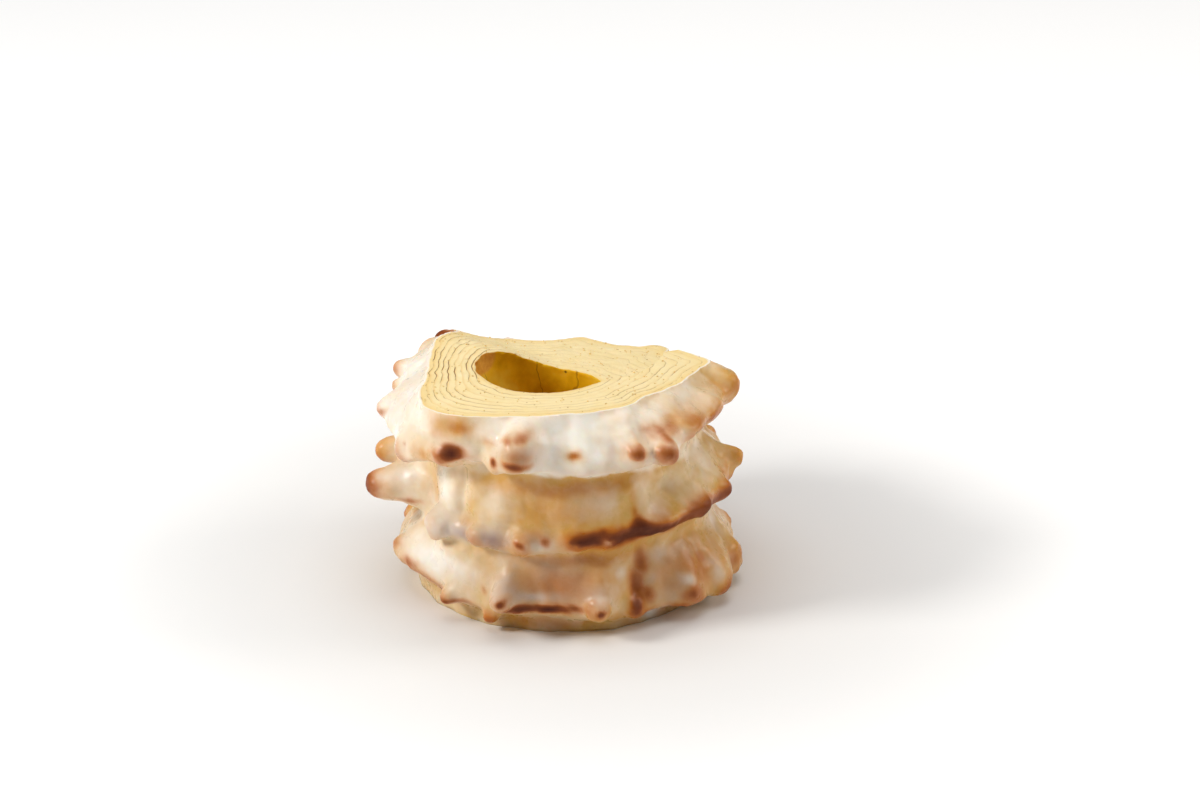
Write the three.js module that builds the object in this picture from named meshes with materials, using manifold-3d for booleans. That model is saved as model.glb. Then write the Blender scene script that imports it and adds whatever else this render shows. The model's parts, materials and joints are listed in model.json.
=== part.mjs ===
// A spit-baked ring cake of three glazed tiers. Each tier is a drooping rim with batter knobs round it.
// The spit left a straight hole, the top is cut level, and a slanting cut dips into it at the back.
import * as THREE from "three";
import { mergeVertices } from "three/addons/utils/BufferGeometryUtils.js";
import Module from "manifold-3d";

const wasm = await Module();
wasm.setup();

// Driving dimensions, in millimetres and degrees.
// +X is the cake's right, -Y its front and +Z up. Angles run anticlockwise from +X, seen from above.
const CAKE_HEIGHT = 124;
const TIER_COUNT = 3;
const NECK_RADIUS = 76;
const RIM_RADIUS = 87;
const BASE_RADIUS = 78;
const HOLE_RADIUS = 35;
const HOLE_CENTRE = [-7, -7];

// How finely the round shapes are divided.
const BODY_SEGMENTS = 96;
const HOLE_SEGMENTS = 48;
const KNOB_SEGMENTS = 8;

// A tier's outline in height: shares of the neck-to-rim step below and above the rim.
const STEPS_BELOW_RIM = 3;
const STEPS_ABOVE_RIM = 5;
const UNDERSIDE_ROUNDING = 6;
const SHOULDER_ROUNDING = 1.1;

// Least height of a rim's widest line over the join below it.
const RIM_CLEARANCE = 2;

// Uneven waves that run round every rim: waves to a turn and their height.
const WAVES = [
  { count: 6, height: 1.2 },
  { count: 11, height: 1.0 },
];

// The rim also swells out towards each knob, by a share of the knob's reach past the plain rim.
const KNOB_SWELL_SHARE = 0.45;
const KNOB_SWELL_WIDTH = 8;

// The tiers from the bottom up. The rim's height is a share of a tier, and lifts raise it around an angle.
// Swells widen the rim, or the neck above it, around an angle, and join lifts raise the join at its top.
// A dent is a hollow in the side, with its width, tallness and depth.
// A knob has its angle, the height and reach of its tip, its thickness (a radius) and its lift,
// the angle by which it points up.
const TIERS = [
  {
    centre: [3, 0],
    rimHeight: 0.36,
    rimLifts: [
      { angle: 205, width: 20, height: 0.12 },
      { angle: 262, width: 14, height: 0.08 },
      { angle: 345, width: 45, height: -0.14 },
    ],
    rimSwells: [
      { angle: 345, width: 34, height: 7 },
      { angle: 185, width: 25, height: 3 },
      { angle: 306, width: 12, height: -3 },
    ],
    neckSwells: [
      { angle: 350, width: 30, height: 5 },
      { angle: 270, width: 50, height: 7 },
    ],
    joinLifts: [{ angle: 268, width: 55, height: 5 }],
    dents: [{ angle: 301, height: 24, width: 7, tallness: 18, depth: 6 }],
    knobs: [
      { angle: 192, height: 23, reach: 91, thickness: 7, lift: -5 },
      { angle: 228, height: 14, reach: 92, thickness: 6, lift: -10 },
      { angle: 252, height: 21, reach: 101, thickness: 7, lift: -16 },
      { angle: 246, height: 9, reach: 89, thickness: 5, lift: -5 },
      { angle: 284, height: 16, reach: 98, thickness: 7, lift: -18 },
      { angle: 300, height: 13, reach: 95, thickness: 7, lift: -10 },
      { angle: 320, height: 17, reach: 99, thickness: 8, lift: 0 },
      { angle: 336, height: 11, reach: 102, thickness: 8, lift: -8 },
      { angle: 352, height: 18, reach: 103, thickness: 9, lift: -5 },
      { angle: 20, height: 17, reach: 102, thickness: 8, lift: 0 },
      { angle: 48, height: 14, reach: 102, thickness: 6.5, lift: -8 },
      { angle: 75, height: 20, reach: 98, thickness: 8, lift: 5 },
      { angle: 102, height: 17, reach: 102, thickness: 7, lift: -12 },
      { angle: 130, height: 22, reach: 97, thickness: 7.5, lift: 0 },
      { angle: 158, height: 20, reach: 91, thickness: 7, lift: -8 },
    ],
  },
  {
    centre: [3, 0],
    rimHeight: 0.28,
    rimLifts: [
      { angle: 350, width: 65, height: 0.15 },
      { angle: 222, width: 25, height: -0.06 },
      { angle: 258, width: 18, height: -0.09 },
    ],
    rimSwells: [
      { angle: 205, width: 15, height: -13 },
      { angle: 345, width: 30, height: 2 },
      { angle: 246, width: 14, height: -2 },
    ],
    neckSwells: [
      { angle: 205, width: 25, height: -4 },
      { angle: 270, width: 50, height: 7 },
    ],
    joinLifts: [{ angle: 268, width: 55, height: 11 }],
    dents: [{ angle: 314, height: 74, width: 19, tallness: 9, depth: 9 }],
    knobs: [
      { angle: 176, height: 69, reach: 98.5, thickness: 6.5, lift: -10 },
      { angle: 188, height: 59, reach: 105, thickness: 8.5, lift: 0 },
      { angle: 222, height: 53, reach: 92, thickness: 8, lift: -10 },
      { angle: 240, height: 54, reach: 90, thickness: 7.5, lift: -10 },
      { angle: 258, height: 53, reach: 93, thickness: 8.5, lift: -18 },
      { angle: 275, height: 57, reach: 91, thickness: 7.5, lift: -15 },
      { angle: 290, height: 56, reach: 91, thickness: 7.5, lift: -10 },
      { angle: 308, height: 60, reach: 91, thickness: 7.5, lift: -5 },
      { angle: 328, height: 61, reach: 97, thickness: 7, lift: 0 },
      { angle: 345, height: 61, reach: 98.5, thickness: 7, lift: 0 },
      { angle: 353, height: 66, reach: 96, thickness: 5, lift: -10 },
      { angle: 0, height: 68, reach: 102.5, thickness: 6.5, lift: -5 },
      { angle: 16, height: 68, reach: 92, thickness: 8, lift: 8 },
      { angle: 33, height: 60, reach: 104, thickness: 7.5, lift: 5 },
      { angle: 60, height: 63, reach: 97, thickness: 8, lift: 0 },
      { angle: 84, height: 57, reach: 103, thickness: 6.5, lift: -8 },
      { angle: 108, height: 60, reach: 97, thickness: 8, lift: 8 },
      { angle: 126, height: 54, reach: 101, thickness: 6.5, lift: -8 },
      { angle: 150, height: 58, reach: 97, thickness: 8, lift: 0 },
    ],
  },
  {
    centre: [1, 0],
    rimHeight: 0.37,
    rimLifts: [
      { angle: 211, width: 13, height: -0.22 },
      { angle: 239, width: 9, height: 0.06 },
      { angle: 286, width: 18, height: -0.13 },
      { angle: 324, width: 20, height: 0.22 },
      { angle: 0, width: 28, height: 0.28 },
      { angle: 155, width: 24, height: 0.17 },
    ],
    rimSwells: [
      { angle: 197, width: 12, height: 4 },
      { angle: 224, width: 26, height: 7 },
      { angle: 303, width: 20, height: 2 },
      { angle: 331, width: 14, height: 3 },
      { angle: 2, width: 24, height: 5 },
    ],
    neckSwells: [
      { angle: 225, width: 19, height: 18.5 },
      { angle: 176, width: 22, height: -6 },
      { angle: 272, width: 18, height: -5 },
      { angle: 318, width: 28, height: -10 },
      { angle: 2, width: 9, height: 7 },
      { angle: 24, width: 16, height: -11 },
    ],
    joinLifts: [],
    dents: [],
    knobs: [
      { angle: 160, height: 109, reach: 96, thickness: 5.5, lift: 5 },
      { angle: 169, height: 103, reach: 92, thickness: 5.5, lift: -5 },
      { angle: 186, height: 101, reach: 99, thickness: 6, lift: -15 },
      { angle: 211, height: 92, reach: 99, thickness: 8, lift: -15 },
      { angle: 230, height: 99, reach: 99, thickness: 7.5, lift: -8 },
      { angle: 249, height: 99, reach: 95, thickness: 6, lift: -10 },
      { angle: 257, height: 107, reach: 97, thickness: 12, lift: -5 },
      { angle: 298, height: 105, reach: 99, thickness: 7, lift: -8 },
      { angle: 308, height: 103, reach: 104, thickness: 6.5, lift: -5 },
      { angle: 322, height: 109, reach: 94, thickness: 7, lift: 0 },
      { angle: 341, height: 111, reach: 93.5, thickness: 8, lift: 0 },
      { angle: 0, height: 111, reach: 100, thickness: 11.5, lift: 0 },
      { angle: 30, height: 100, reach: 101, thickness: 8, lift: 0 },
      { angle: 55, height: 97, reach: 102, thickness: 7, lift: -10 },
      { angle: 82, height: 97, reach: 99, thickness: 8, lift: 5 },
      { angle: 107, height: 94, reach: 102, thickness: 7, lift: -8 },
      { angle: 132, height: 110, reach: 99, thickness: 9, lift: 8 },
      { angle: 146, height: 110, reach: 91, thickness: 9, lift: 0 },
    ],
  },
];

// A knob's outline from its root inside the cake to where its round tip starts, in thicknesses:
// distance from the tip against radius.
const KNOB_OUTLINE = [
  [3.7, 2.0],
  [2.9, 1.55],
  [2.0, 1.2],
];
const KNOB_TIP_STEPS = 3;

// The slanting cut, seen from the hole's axis: it starts level at the back left, dips and ends
// at a straight step at the right. Past the bend that step runs straight outwards, and it runs in over
// the hole by a share of its length.
const SLANT_START_ANGLE = 143;
const SLANT_STEP_NEAR = { angle: -27, radius: 37 };
const SLANT_STEP_BEND = { angle: 20, radius: 70 };
const SLANT_STEP_RUN_IN = -0.4;
const SLANT_REACH = [25, 125];
const SLANT_DEPTH = 14;
const SLANT_DIP_SHARE = 0.4;
const SLANT_OUTWARD_FALL = 0.13;
const SLANT_STEPS = 14;
const SLANT_RINGS = 6;

// Room that the cutting shapes keep past the faces that they cut.
const OVERCUT = 20;

// Points closer than this are one point.
const WELD_DISTANCE = 1e-4;

const radians = THREE.MathUtils.degToRad;
const lerp = THREE.MathUtils.lerp;
const TIER_HEIGHT = CAKE_HEIGHT / TIER_COUNT;

// The smallest angle between two directions, in degrees.
function angleBetween(a, b) {
  return Math.abs(THREE.MathUtils.euclideanModulo(a - b + 180, 360) - 180);
}

// What one swell adds at an angle.
function swellAt(swell, angle) {
  return swell.height * Math.exp(-((angleBetween(angle, swell.angle) / swell.width) ** 2));
}

// What a list of swells adds up to at an angle.
function swelling(swells, angle) {
  return swells.reduce((sum, swell) => sum + swellAt(swell, angle), 0);
}

// How far the rim of a tier swells out towards its knobs at an angle.
function knobSwelling(tier, angle) {
  const swells = tier.knobs.map((knob) => ({
    angle: knob.angle,
    width: KNOB_SWELL_WIDTH,
    height: KNOB_SWELL_SHARE * (knob.reach - RIM_RADIUS),
  }));
  return Math.max(...swells.map((swell) => swellAt(swell, angle)));
}

// How far the running waves widen the rim of a tier at an angle.
function waviness(index, angle) {
  let sum = 0;
  for (const wave of WAVES) {
    sum += wave.height * Math.sin(radians(wave.count * angle) + index * wave.count);
  }
  return sum;
}

// Radius of a tier's rim at an angle, from the tier's centre.
function rimRadius(index, angle) {
  const tier = TIERS[index];
  return RIM_RADIUS + swelling(tier.rimSwells, angle) + knobSwelling(tier, angle) + waviness(index, angle);
}

// The neck's radius at the top of a tier, or the radius of the base.
function neckRadius(index, angle) {
  if (index < 0) {
    return BASE_RADIUS;
  }
  return NECK_RADIUS + swelling(TIERS[index].neckSwells, angle);
}

// Height of the join at the top of a tier, or of the base.
function joinHeight(index, angle) {
  if (index < 0) {
    return 0;
  }
  return (index + 1) * TIER_HEIGHT + swelling(TIERS[index].joinLifts, angle);
}

// Height of a tier's widest line, which stays clear of the join below it.
function rimHeight(index, angle) {
  const tier = TIERS[index];
  const share = tier.rimHeight + swelling(tier.rimLifts, angle);
  return Math.max((index + share) * TIER_HEIGHT, joinHeight(index - 1, angle) + RIM_CLEARANCE);
}

// How deep the dents of a tier are at an angle and a height.
function dentDepth(tier, angle, z) {
  return tier.dents.reduce((sum, dent) => {
    const across = (radians(angleBetween(angle, dent.angle)) * RIM_RADIUS) / dent.width;
    const along = (z - dent.height) / dent.tallness;
    return sum + dent.depth * Math.exp(-(across ** 2) - along ** 2);
  }, 0);
}

// One ring of the outline: the tier it is on, whether it is above the rim, and its share of the way.
function outlineRings() {
  const rings = [];
  for (let index = 0; index < TIER_COUNT; index++) {
    for (let step = 0; step < STEPS_BELOW_RIM; step++) {
      rings.push({ index, above: false, share: step / STEPS_BELOW_RIM });
    }
    for (let step = 0; step < STEPS_ABOVE_RIM; step++) {
      rings.push({ index, above: true, share: step / STEPS_ABOVE_RIM });
    }
  }
  rings.push({ index: TIER_COUNT - 1, above: true, share: 1 });
  return rings;
}

// Where a ring of the undented outline lies at an angle: its height, and its radius from the tier's centre.
function plainRingPlace(ring, angle) {
  const { index, above, share } = ring;
  const quarter = (Math.PI / 2) * share;
  const rim = rimHeight(index, angle);
  const widest = rimRadius(index, angle);
  if (above) {
    const bulge = Math.cos(quarter) ** SHOULDER_ROUNDING;
    return {
      z: lerp(rim, joinHeight(index, angle), share),
      radius: lerp(neckRadius(index, angle), widest, bulge),
    };
  }
  const bulge = Math.sin(quarter) ** UNDERSIDE_ROUNDING;
  return {
    z: lerp(joinHeight(index - 1, angle), rim, share),
    radius: lerp(neckRadius(index - 1, angle), widest, bulge),
  };
}

// Where a ring of the outline lies at an angle, with the tier's dents.
function ringPlace(ring, angle) {
  const { z, radius } = plainRingPlace(ring, angle);
  return { z, radius: radius - dentDepth(TIERS[ring.index], angle, z) };
}

// The tiers without knobs, cut or hole: a lathe shape whose rings are then set to the uneven outline.
function tiersBody() {
  const rings = outlineRings();
  const profile = [new THREE.Vector2(0, 0)];
  rings.forEach((_, step) => profile.push(new THREE.Vector2(RIM_RADIUS, step)));
  profile.push(new THREE.Vector2(0, rings.length));
  const lathe = new THREE.LatheGeometry(profile, BODY_SEGMENTS);
  const position = lathe.getAttribute("position");
  for (let column = 0; column <= BODY_SEGMENTS; column++) {
    const angle = ((column % BODY_SEGMENTS) * 360) / BODY_SEGMENTS;
    for (let row = 0; row < profile.length; row++) {
      const ring = rings[THREE.MathUtils.clamp(row - 1, 0, rings.length - 1)];
      const onAxis = row === 0 || row === profile.length - 1;
      const [x, y] = TIERS[ring.index].centre;
      const place = ringPlace(ring, angle);
      const radius = onAxis ? 0 : place.radius;
      position.setXYZ(
        column * profile.length + row,
        x + radius * Math.cos(radians(angle)),
        y + radius * Math.sin(radians(angle)),
        place.z,
      );
    }
  }
  return lathe;
}

// A batter knob along +Y with its tip at the origin: a flared root and a round tip.
function knobShape(thickness) {
  const profile = [new THREE.Vector2(0, -KNOB_OUTLINE[0][0] * thickness)];
  for (const [fromTip, radius] of KNOB_OUTLINE) {
    profile.push(new THREE.Vector2(radius * thickness, -fromTip * thickness));
  }
  for (let step = 0; step < KNOB_TIP_STEPS; step++) {
    const turn = (Math.PI / 2) * (step / KNOB_TIP_STEPS);
    profile.push(new THREE.Vector2(Math.cos(turn) * thickness, (Math.sin(turn) - 1) * thickness));
  }
  profile.push(new THREE.Vector2(0, 0));
  return new THREE.LatheGeometry(profile, KNOB_SEGMENTS);
}

// A knob in its place: its tip at the stated reach and height, leaning by its lift.
function knobInPlace(knob) {
  const turn = radians(knob.angle);
  const lift = radians(knob.lift);
  const outwards = new THREE.Vector3(
    Math.cos(turn) * Math.cos(lift),
    Math.sin(turn) * Math.cos(lift),
    Math.sin(lift),
  );
  const lean = new THREE.Quaternion().setFromUnitVectors(new THREE.Vector3(0, 1, 0), outwards);
  return knobShape(knob.thickness)
    .applyQuaternion(lean)
    .translate(knob.reach * Math.cos(turn), knob.reach * Math.sin(turn), knob.height);
}

// The spit's hole, which runs past the base and the top.
function spitHole() {
  const length = CAKE_HEIGHT + 2 * OVERCUT;
  return new THREE.CylinderGeometry(HOLE_RADIUS, HOLE_RADIUS, length, HOLE_SEGMENTS)
    .rotateX(Math.PI / 2)
    .translate(HOLE_CENTRE[0], HOLE_CENTRE[1], CAKE_HEIGHT / 2);
}

// What lies over the level cut, and what knobs reach below the base.
function slabAbove(level) {
  const side = 4 * RIM_RADIUS;
  return new THREE.BoxGeometry(side, side, 2 * OVERCUT).translate(0, 0, level + OVERCUT);
}

// Depth of the slanting cut's floor below the level cut, at a share of its way round and a radius.
function slantDepth(share, radius) {
  const dip = THREE.MathUtils.smoothstep(share, 0, SLANT_DIP_SHARE);
  const fall = SLANT_OUTWARD_FALL * (radius - HOLE_RADIUS);
  return dip * (SLANT_DEPTH + fall);
}

// Angle of the step at which the slanting cut ends, at a radius.
function slantStepAngle(radius) {
  const near = SLANT_STEP_NEAR;
  const bend = SLANT_STEP_BEND;
  const outwards = (radius - near.radius) / (bend.radius - near.radius);
  return lerp(near.angle, bend.angle, THREE.MathUtils.clamp(outwards, SLANT_STEP_RUN_IN, 1));
}

// What the slanting cut takes out: a box bent round the hole, with its underside on the cut's floor.
function slantingCut() {
  const box = new THREE.BoxGeometry(1, 1, 1, SLANT_STEPS, SLANT_RINGS, 1).translate(0.5, 0.5, 0.5);
  const position = box.getAttribute("position");
  for (let i = 0; i < position.count; i++) {
    const share = position.getX(i);
    const radius = lerp(SLANT_REACH[0], SLANT_REACH[1], position.getY(i));
    const angle = radians(lerp(SLANT_START_ANGLE, slantStepAngle(radius), share));
    const depth = position.getZ(i) > 0.5 ? -OVERCUT : slantDepth(share, radius);
    position.setXYZ(
      i,
      HOLE_CENTRE[0] + radius * Math.cos(angle),
      HOLE_CENTRE[1] + radius * Math.sin(angle),
      CAKE_HEIGHT - depth,
    );
  }
  return box;
}

// A closed geometry as a solid that can be joined and cut.
function solidOf(geometry) {
  geometry.deleteAttribute("normal");
  geometry.deleteAttribute("uv");
  const merged = mergeVertices(geometry, WELD_DISTANCE);
  return new wasm.Manifold(
    new wasm.Mesh({
      numProp: 3,
      vertProperties: merged.getAttribute("position").array,
      triVerts: new Uint32Array(merged.getIndex().array),
    }),
  );
}

// A solid as geometry again.
function geometryOf(solid) {
  const mesh = solid.getMesh();
  const geometry = new THREE.BufferGeometry();
  geometry.setAttribute("position", new THREE.BufferAttribute(mesh.vertProperties, 3));
  geometry.setIndex(new THREE.BufferAttribute(mesh.triVerts, 1));
  geometry.computeVertexNormals();
  return geometry;
}

// The whole cake: tiers and knobs joined, then levelled, bored and cut at a slant.
function cakeSolid() {
  let cake = solidOf(tiersBody());
  for (const tier of TIERS) {
    for (const knob of tier.knobs) {
      cake = cake.add(solidOf(knobInPlace(knob)));
    }
  }
  return cake
    .subtract(solidOf(slabAbove(CAKE_HEIGHT)))
    .subtract(solidOf(slabAbove(-2 * OVERCUT)))
    .subtract(solidOf(spitHole()))
    .subtract(solidOf(slantingCut()));
}

const glazedCake = new THREE.MeshStandardMaterial({ color: 0xe6d3b3, roughness: 0.4, metalness: 0 });

const cake = new THREE.Mesh(geometryOf(cakeSolid()), glazedCake);
cake.name = "cake";

// The origin is on the base, under the middle of the cake's box.
cake.geometry.computeBoundingBox();
const middle = cake.geometry.boundingBox.getCenter(new THREE.Vector3());
cake.position.set(-middle.x, -middle.y, 0);

const baumkuchen = new THREE.Group();
baumkuchen.add(cake);

export default baumkuchen;
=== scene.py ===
import json
import math
from collections import namedtuple

import bpy
import numpy as np
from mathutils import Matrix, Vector, noise
from mathutils.bvhtree import BVHTree


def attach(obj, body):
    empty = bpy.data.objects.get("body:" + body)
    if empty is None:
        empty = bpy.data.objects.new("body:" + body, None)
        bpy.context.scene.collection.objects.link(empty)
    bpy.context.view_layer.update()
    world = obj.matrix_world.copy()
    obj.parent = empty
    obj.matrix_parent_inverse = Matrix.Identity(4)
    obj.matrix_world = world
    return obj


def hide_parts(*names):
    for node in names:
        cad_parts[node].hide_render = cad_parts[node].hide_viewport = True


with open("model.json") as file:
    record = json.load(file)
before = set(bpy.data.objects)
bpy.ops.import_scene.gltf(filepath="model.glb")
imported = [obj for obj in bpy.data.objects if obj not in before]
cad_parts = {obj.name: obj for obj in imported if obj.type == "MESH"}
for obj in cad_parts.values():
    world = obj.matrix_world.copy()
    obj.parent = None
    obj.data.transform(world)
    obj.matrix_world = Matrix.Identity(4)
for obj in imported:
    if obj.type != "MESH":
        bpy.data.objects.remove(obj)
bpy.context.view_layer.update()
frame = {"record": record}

MM = 0.001

# The cake's driving sizes, in millimetres and degrees, as in the solid.
# Angles run anticlockwise from the cake's right, seen from above, and the front is at 270.
CAKE_HEIGHT = 124
TIER_COUNT = 3
TIER_HEIGHT = CAKE_HEIGHT / TIER_COUNT
NECK_RADIUS = 76
RIM_RADIUS = 87
BASE_RADIUS = 78
HOLE_RADIUS = 35
HOLE_CENTRE = np.array([-7.0, -7.0])
UNDERSIDE_ROUNDING = 6
SHOULDER_ROUNDING = 1.1
RIM_CLEARANCE = 2

# A swell adds its height around an angle. A knob has its angle, the height and reach of its tip, its
# thickness (a radius), the angle by which it points up, and how brown its tip was baked, from 0 to 1.
Swell = namedtuple("Swell", "angle width height")
Knob = namedtuple("Knob", "angle height reach thickness lift toast")
Tier = namedtuple(
    "Tier", "centre rim_height rim_lifts rim_swells neck_swells join_lifts knobs rim_toast frost"
)

# Waves round every rim, as waves to a turn and their height, and the rim's swelling towards its knobs.
WAVES = ((6, 1.2), (11, 1.0))
KNOB_SWELL_SHARE = 0.45
KNOB_SWELL_WIDTH = 8

# The tiers from the bottom up. The rim's height is a share of a tier, and lifts raise it. The toast of the
# rim says how brown its lower edge is, and frost how white the glaze lies on the tier.
BOTTOM_TIER = Tier(
    centre=(3, 0),
    rim_height=0.36,
    rim_lifts=[Swell(205, 20, 0.12), Swell(262, 14, 0.08), Swell(345, 45, -0.14)],
    rim_swells=[Swell(345, 34, 7), Swell(185, 25, 3), Swell(306, 12, -3)],
    neck_swells=[Swell(350, 30, 5), Swell(270, 50, 7)],
    join_lifts=[Swell(268, 55, 5)],
    knobs=[
        Knob(192, 23, 91, 7, -5, 0.15),
        Knob(228, 14, 92, 6, -10, 0.15),
        Knob(252, 21, 101, 7, -16, 0.1),
        Knob(246, 9, 89, 5, -5, 0.4),
        Knob(284, 16, 98, 7, -18, 0.1),
        Knob(300, 13, 95, 7, -10, 0.5),
        Knob(320, 17, 99, 8, 0, 0.45),
        Knob(336, 11, 102, 8, -8, 0.4),
        Knob(352, 18, 103, 9, -5, 0.35),
        Knob(20, 17, 102, 8, 0, 0.35),
        Knob(48, 14, 102, 6.5, -8, 0.42),
        Knob(75, 20, 98, 8, 5, 0.25),
        Knob(102, 17, 102, 7, -12, 0.45),
        Knob(130, 22, 97, 7.5, 0, 0.2),
        Knob(158, 20, 91, 7, -8, 0.35),
    ],
    rim_toast=[Swell(215, 25, 0.45), Swell(310, 20, 0.4), Swell(80, 60, 0.6)],
    frost=[Swell(215, 40, 0.2), Swell(100, 60, 0.1)],
)
MIDDLE_TIER = Tier(
    centre=(3, 0),
    rim_height=0.28,
    rim_lifts=[Swell(350, 65, 0.15), Swell(222, 25, -0.06), Swell(258, 18, -0.09)],
    rim_swells=[Swell(205, 15, -13), Swell(345, 30, 2), Swell(246, 14, -2)],
    neck_swells=[Swell(205, 25, -4), Swell(270, 50, 7)],
    join_lifts=[Swell(268, 55, 11)],
    knobs=[
        Knob(176, 69, 98.5, 6.5, -10, 0.25),
        Knob(188, 59, 105, 8.5, 0, 0.58),
        Knob(222, 53, 92, 8, -10, 0.1),
        Knob(240, 54, 90, 7.5, -10, 0.1),
        Knob(258, 53, 93, 8.5, -18, 0.2),
        Knob(275, 57, 91, 7.5, -15, 0.4),
        Knob(290, 56, 91, 7.5, -10, 0.4),
        Knob(308, 60, 91, 7.5, -5, 0.4),
        Knob(328, 61, 97, 7, 0, 0.45),
        Knob(345, 61, 98.5, 7, 0, 0.4),
        Knob(353, 66, 96, 5, -10, 0.35),
        Knob(0, 68, 102.5, 6.5, -5, 0.2),
        Knob(16, 68, 92, 8, 8, 0.25),
        Knob(33, 60, 104, 7.5, 5, 0.35),
        Knob(60, 63, 97, 8, 0, 0.28),
        Knob(84, 57, 103, 6.5, -8, 0.45),
        Knob(108, 60, 97, 8, 8, 0.2),
        Knob(126, 54, 101, 6.5, -8, 0.4),
        Knob(150, 58, 97, 8, 0, 0.28),
    ],
    rim_toast=[Swell(296, 20, 0.75), Swell(333, 20, 0.6), Swell(60, 70, 0.5)],
    frost=[Swell(205, 30, 0.36), Swell(100, 60, 0.15)],
)
TOP_TIER = Tier(
    centre=(1, 0),
    rim_height=0.37,
    rim_lifts=[
        Swell(211, 13, -0.22),
        Swell(239, 9, 0.06),
        Swell(286, 18, -0.13),
        Swell(324, 20, 0.22),
        Swell(0, 28, 0.28),
        Swell(155, 24, 0.17),
    ],
    rim_swells=[Swell(197, 12, 4), Swell(224, 26, 7), Swell(303, 20, 2), Swell(331, 14, 3), Swell(2, 24, 5)],
    neck_swells=[
        Swell(225, 19, 18.5),
        Swell(176, 22, -6),
        Swell(272, 18, -5),
        Swell(318, 28, -10),
        Swell(2, 9, 7),
        Swell(24, 16, -11),
    ],
    join_lifts=[],
    knobs=[
        Knob(160, 109, 96, 5.5, 5, 0.3),
        Knob(169, 103, 92, 5.5, -5, 0.3),
        Knob(186, 101, 99, 6, -15, 0.3),
        Knob(211, 92, 99, 8, -15, 0.3),
        Knob(230, 99, 99, 7.5, -8, 0.4),
        Knob(249, 99, 95, 6, -10, 0.1),
        Knob(257, 107, 97, 12, -5, 0.1),
        Knob(298, 105, 99, 7, -8, 0.35),
        Knob(308, 103, 104, 6.5, -5, 0.45),
        Knob(322, 109, 94, 7, 0, 0.2),
        Knob(341, 111, 93.5, 8, 0, 0.1),
        Knob(0, 111, 100, 11.5, 0, 0.2),
        Knob(30, 100, 101, 8, 0, 0.35),
        Knob(55, 97, 102, 7, -10, 0.4),
        Knob(82, 97, 99, 8, 5, 0.25),
        Knob(107, 94, 102, 7, -8, 0.42),
        Knob(132, 110, 99, 9, 8, 0.35),
        Knob(146, 110, 91, 9, 0, 0.2),
    ],
    rim_toast=[Swell(335, 25, 0.45), Swell(70, 50, 0.45)],
    frost=[Swell(275, 22, 0.4), Swell(195, 30, 0.35), Swell(230, 12, -0.3), Swell(345, 25, -0.4)],
)
TIERS = (BOTTOM_TIER, MIDDLE_TIER, TOP_TIER)

# A knob's outline from root to tip, in thicknesses: distance from the tip against radius.
KNOB_LENGTH = 3.7
KNOB_ROOT = 2.0
KNOB_OUTLINE = ((3.7, 2.0), (2.9, 1.55), (2.0, 1.2), (1.0, 1.0))

# The slanting cut at the back, seen from the hole's axis, as in the solid.
SLANT_START_ANGLE = 143
SLANT_STEP_NEAR = (-27, 37)
SLANT_STEP_BEND = (20, 70)
SLANT_STEP_RUN_IN = -0.4
SLANT_REACH = (25, 125)
SLANT_DEPTH = 14
SLANT_DIP_SHARE = 0.4
SLANT_OUTWARD_FALL = 0.13

# How finely the cake is modelled: columns and rings of a tier, points and sides of a knob with the turns that
# round its tip, the crust's voxel in millimetres and its blur steps.
TIER_COLUMNS = 300
RINGS_BELOW_RIM = 9
RINGS_ABOVE_RIM = 14
KNOB_STEM_POINTS = 60
KNOB_SIDES = 24
KNOB_TIP_TURNS = (30, 50, 65, 78)
CRUST_VOXEL = 1.6
CRUST_SOFTENING = 5

# The cutters: cells in millimetres on the faces that show, numbers of cells elsewhere, the share of its
# middle length that the slanting cut's cells are counted from, and how far all reach past the cake.
CUT_GRID = 1.2
HOLE_GRID = 1.8
BASE_CELLS = 40
BLOCK_CELLS_UP = 2
SLANT_CELLS_UP = 22
SLANT_LENGTH_SHARE = 0.9
OVERCUT = 14

# Lumps of each surface, as size and height in millimetres and how far they are drawn out upright.
BATTER_LUMPS = ((30, 3.5, 1), (13, 1.4, 1), (18, 1.6, 2.5), (4.5, 0.12, 1))
CUT_LUMPS = ((9, 0.35, 1), (3.5, 0.3, 1))
TORN_LUMPS = ((14, 0.7, 1), (5, 0.5, 1), (3, 0.3, 1))
SPIT_LUMPS = ((16, 0.8, 1), (5, 0.25, 1))
CRUMB_LUMPS = ((1.2, 0.2, 1),)

# Loose crumbs: how many lie on a square centimetre, their least and greatest radii in millimetres, the most
# that they are turned about each axis, in radians, how level a face must be to hold them, and their seed.
CRUMBS_PER_CM2 = 1.6
CM2_PER_M2 = 1e4
CRUMB_LEAST = (0.25, 0.25, 0.2)
CRUMB_MOST = (0.9, 0.8, 0.5)
CRUMB_TURN = (6.28, 6.28, 6.28)
LEVEL_ENOUGH = 0.6
CRUMB_SEED = 7

# How many blur steps level the crust, to find what stands proud of it, how much more that is browned, how
# much thinner the glaze lies on edges and in folds, where it also paints warm shade into the folds, and
# between which heights, in millimetres, each sets in.
PROUD_BLUR = 24
PROUD_TOAST = 0.16
PROUD_HEIGHTS = (0.5, 2.2)
THINNED_FROST_AND_FOLD_SHADE = 0.2
THINNED_HEIGHTS = (0.2, 1.8)

# Browning: how far below each tier's widest line its toasted band lies, from the bottom up, that band's
# height, and how far from its tip a knob is browned, in thicknesses.
RIM_TOAST_DROPS = (3, 0, 3)
RIM_TOAST_HEIGHT = 6
KNOB_TOAST_REACH = 2.3

# Noise that breaks the edges of all browning and glaze, as size and reach in millimetres, and its seed.
SPOT_WARPS = ((14, 2), (4.5, 0.7))
WARP_SEED = 25
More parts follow.
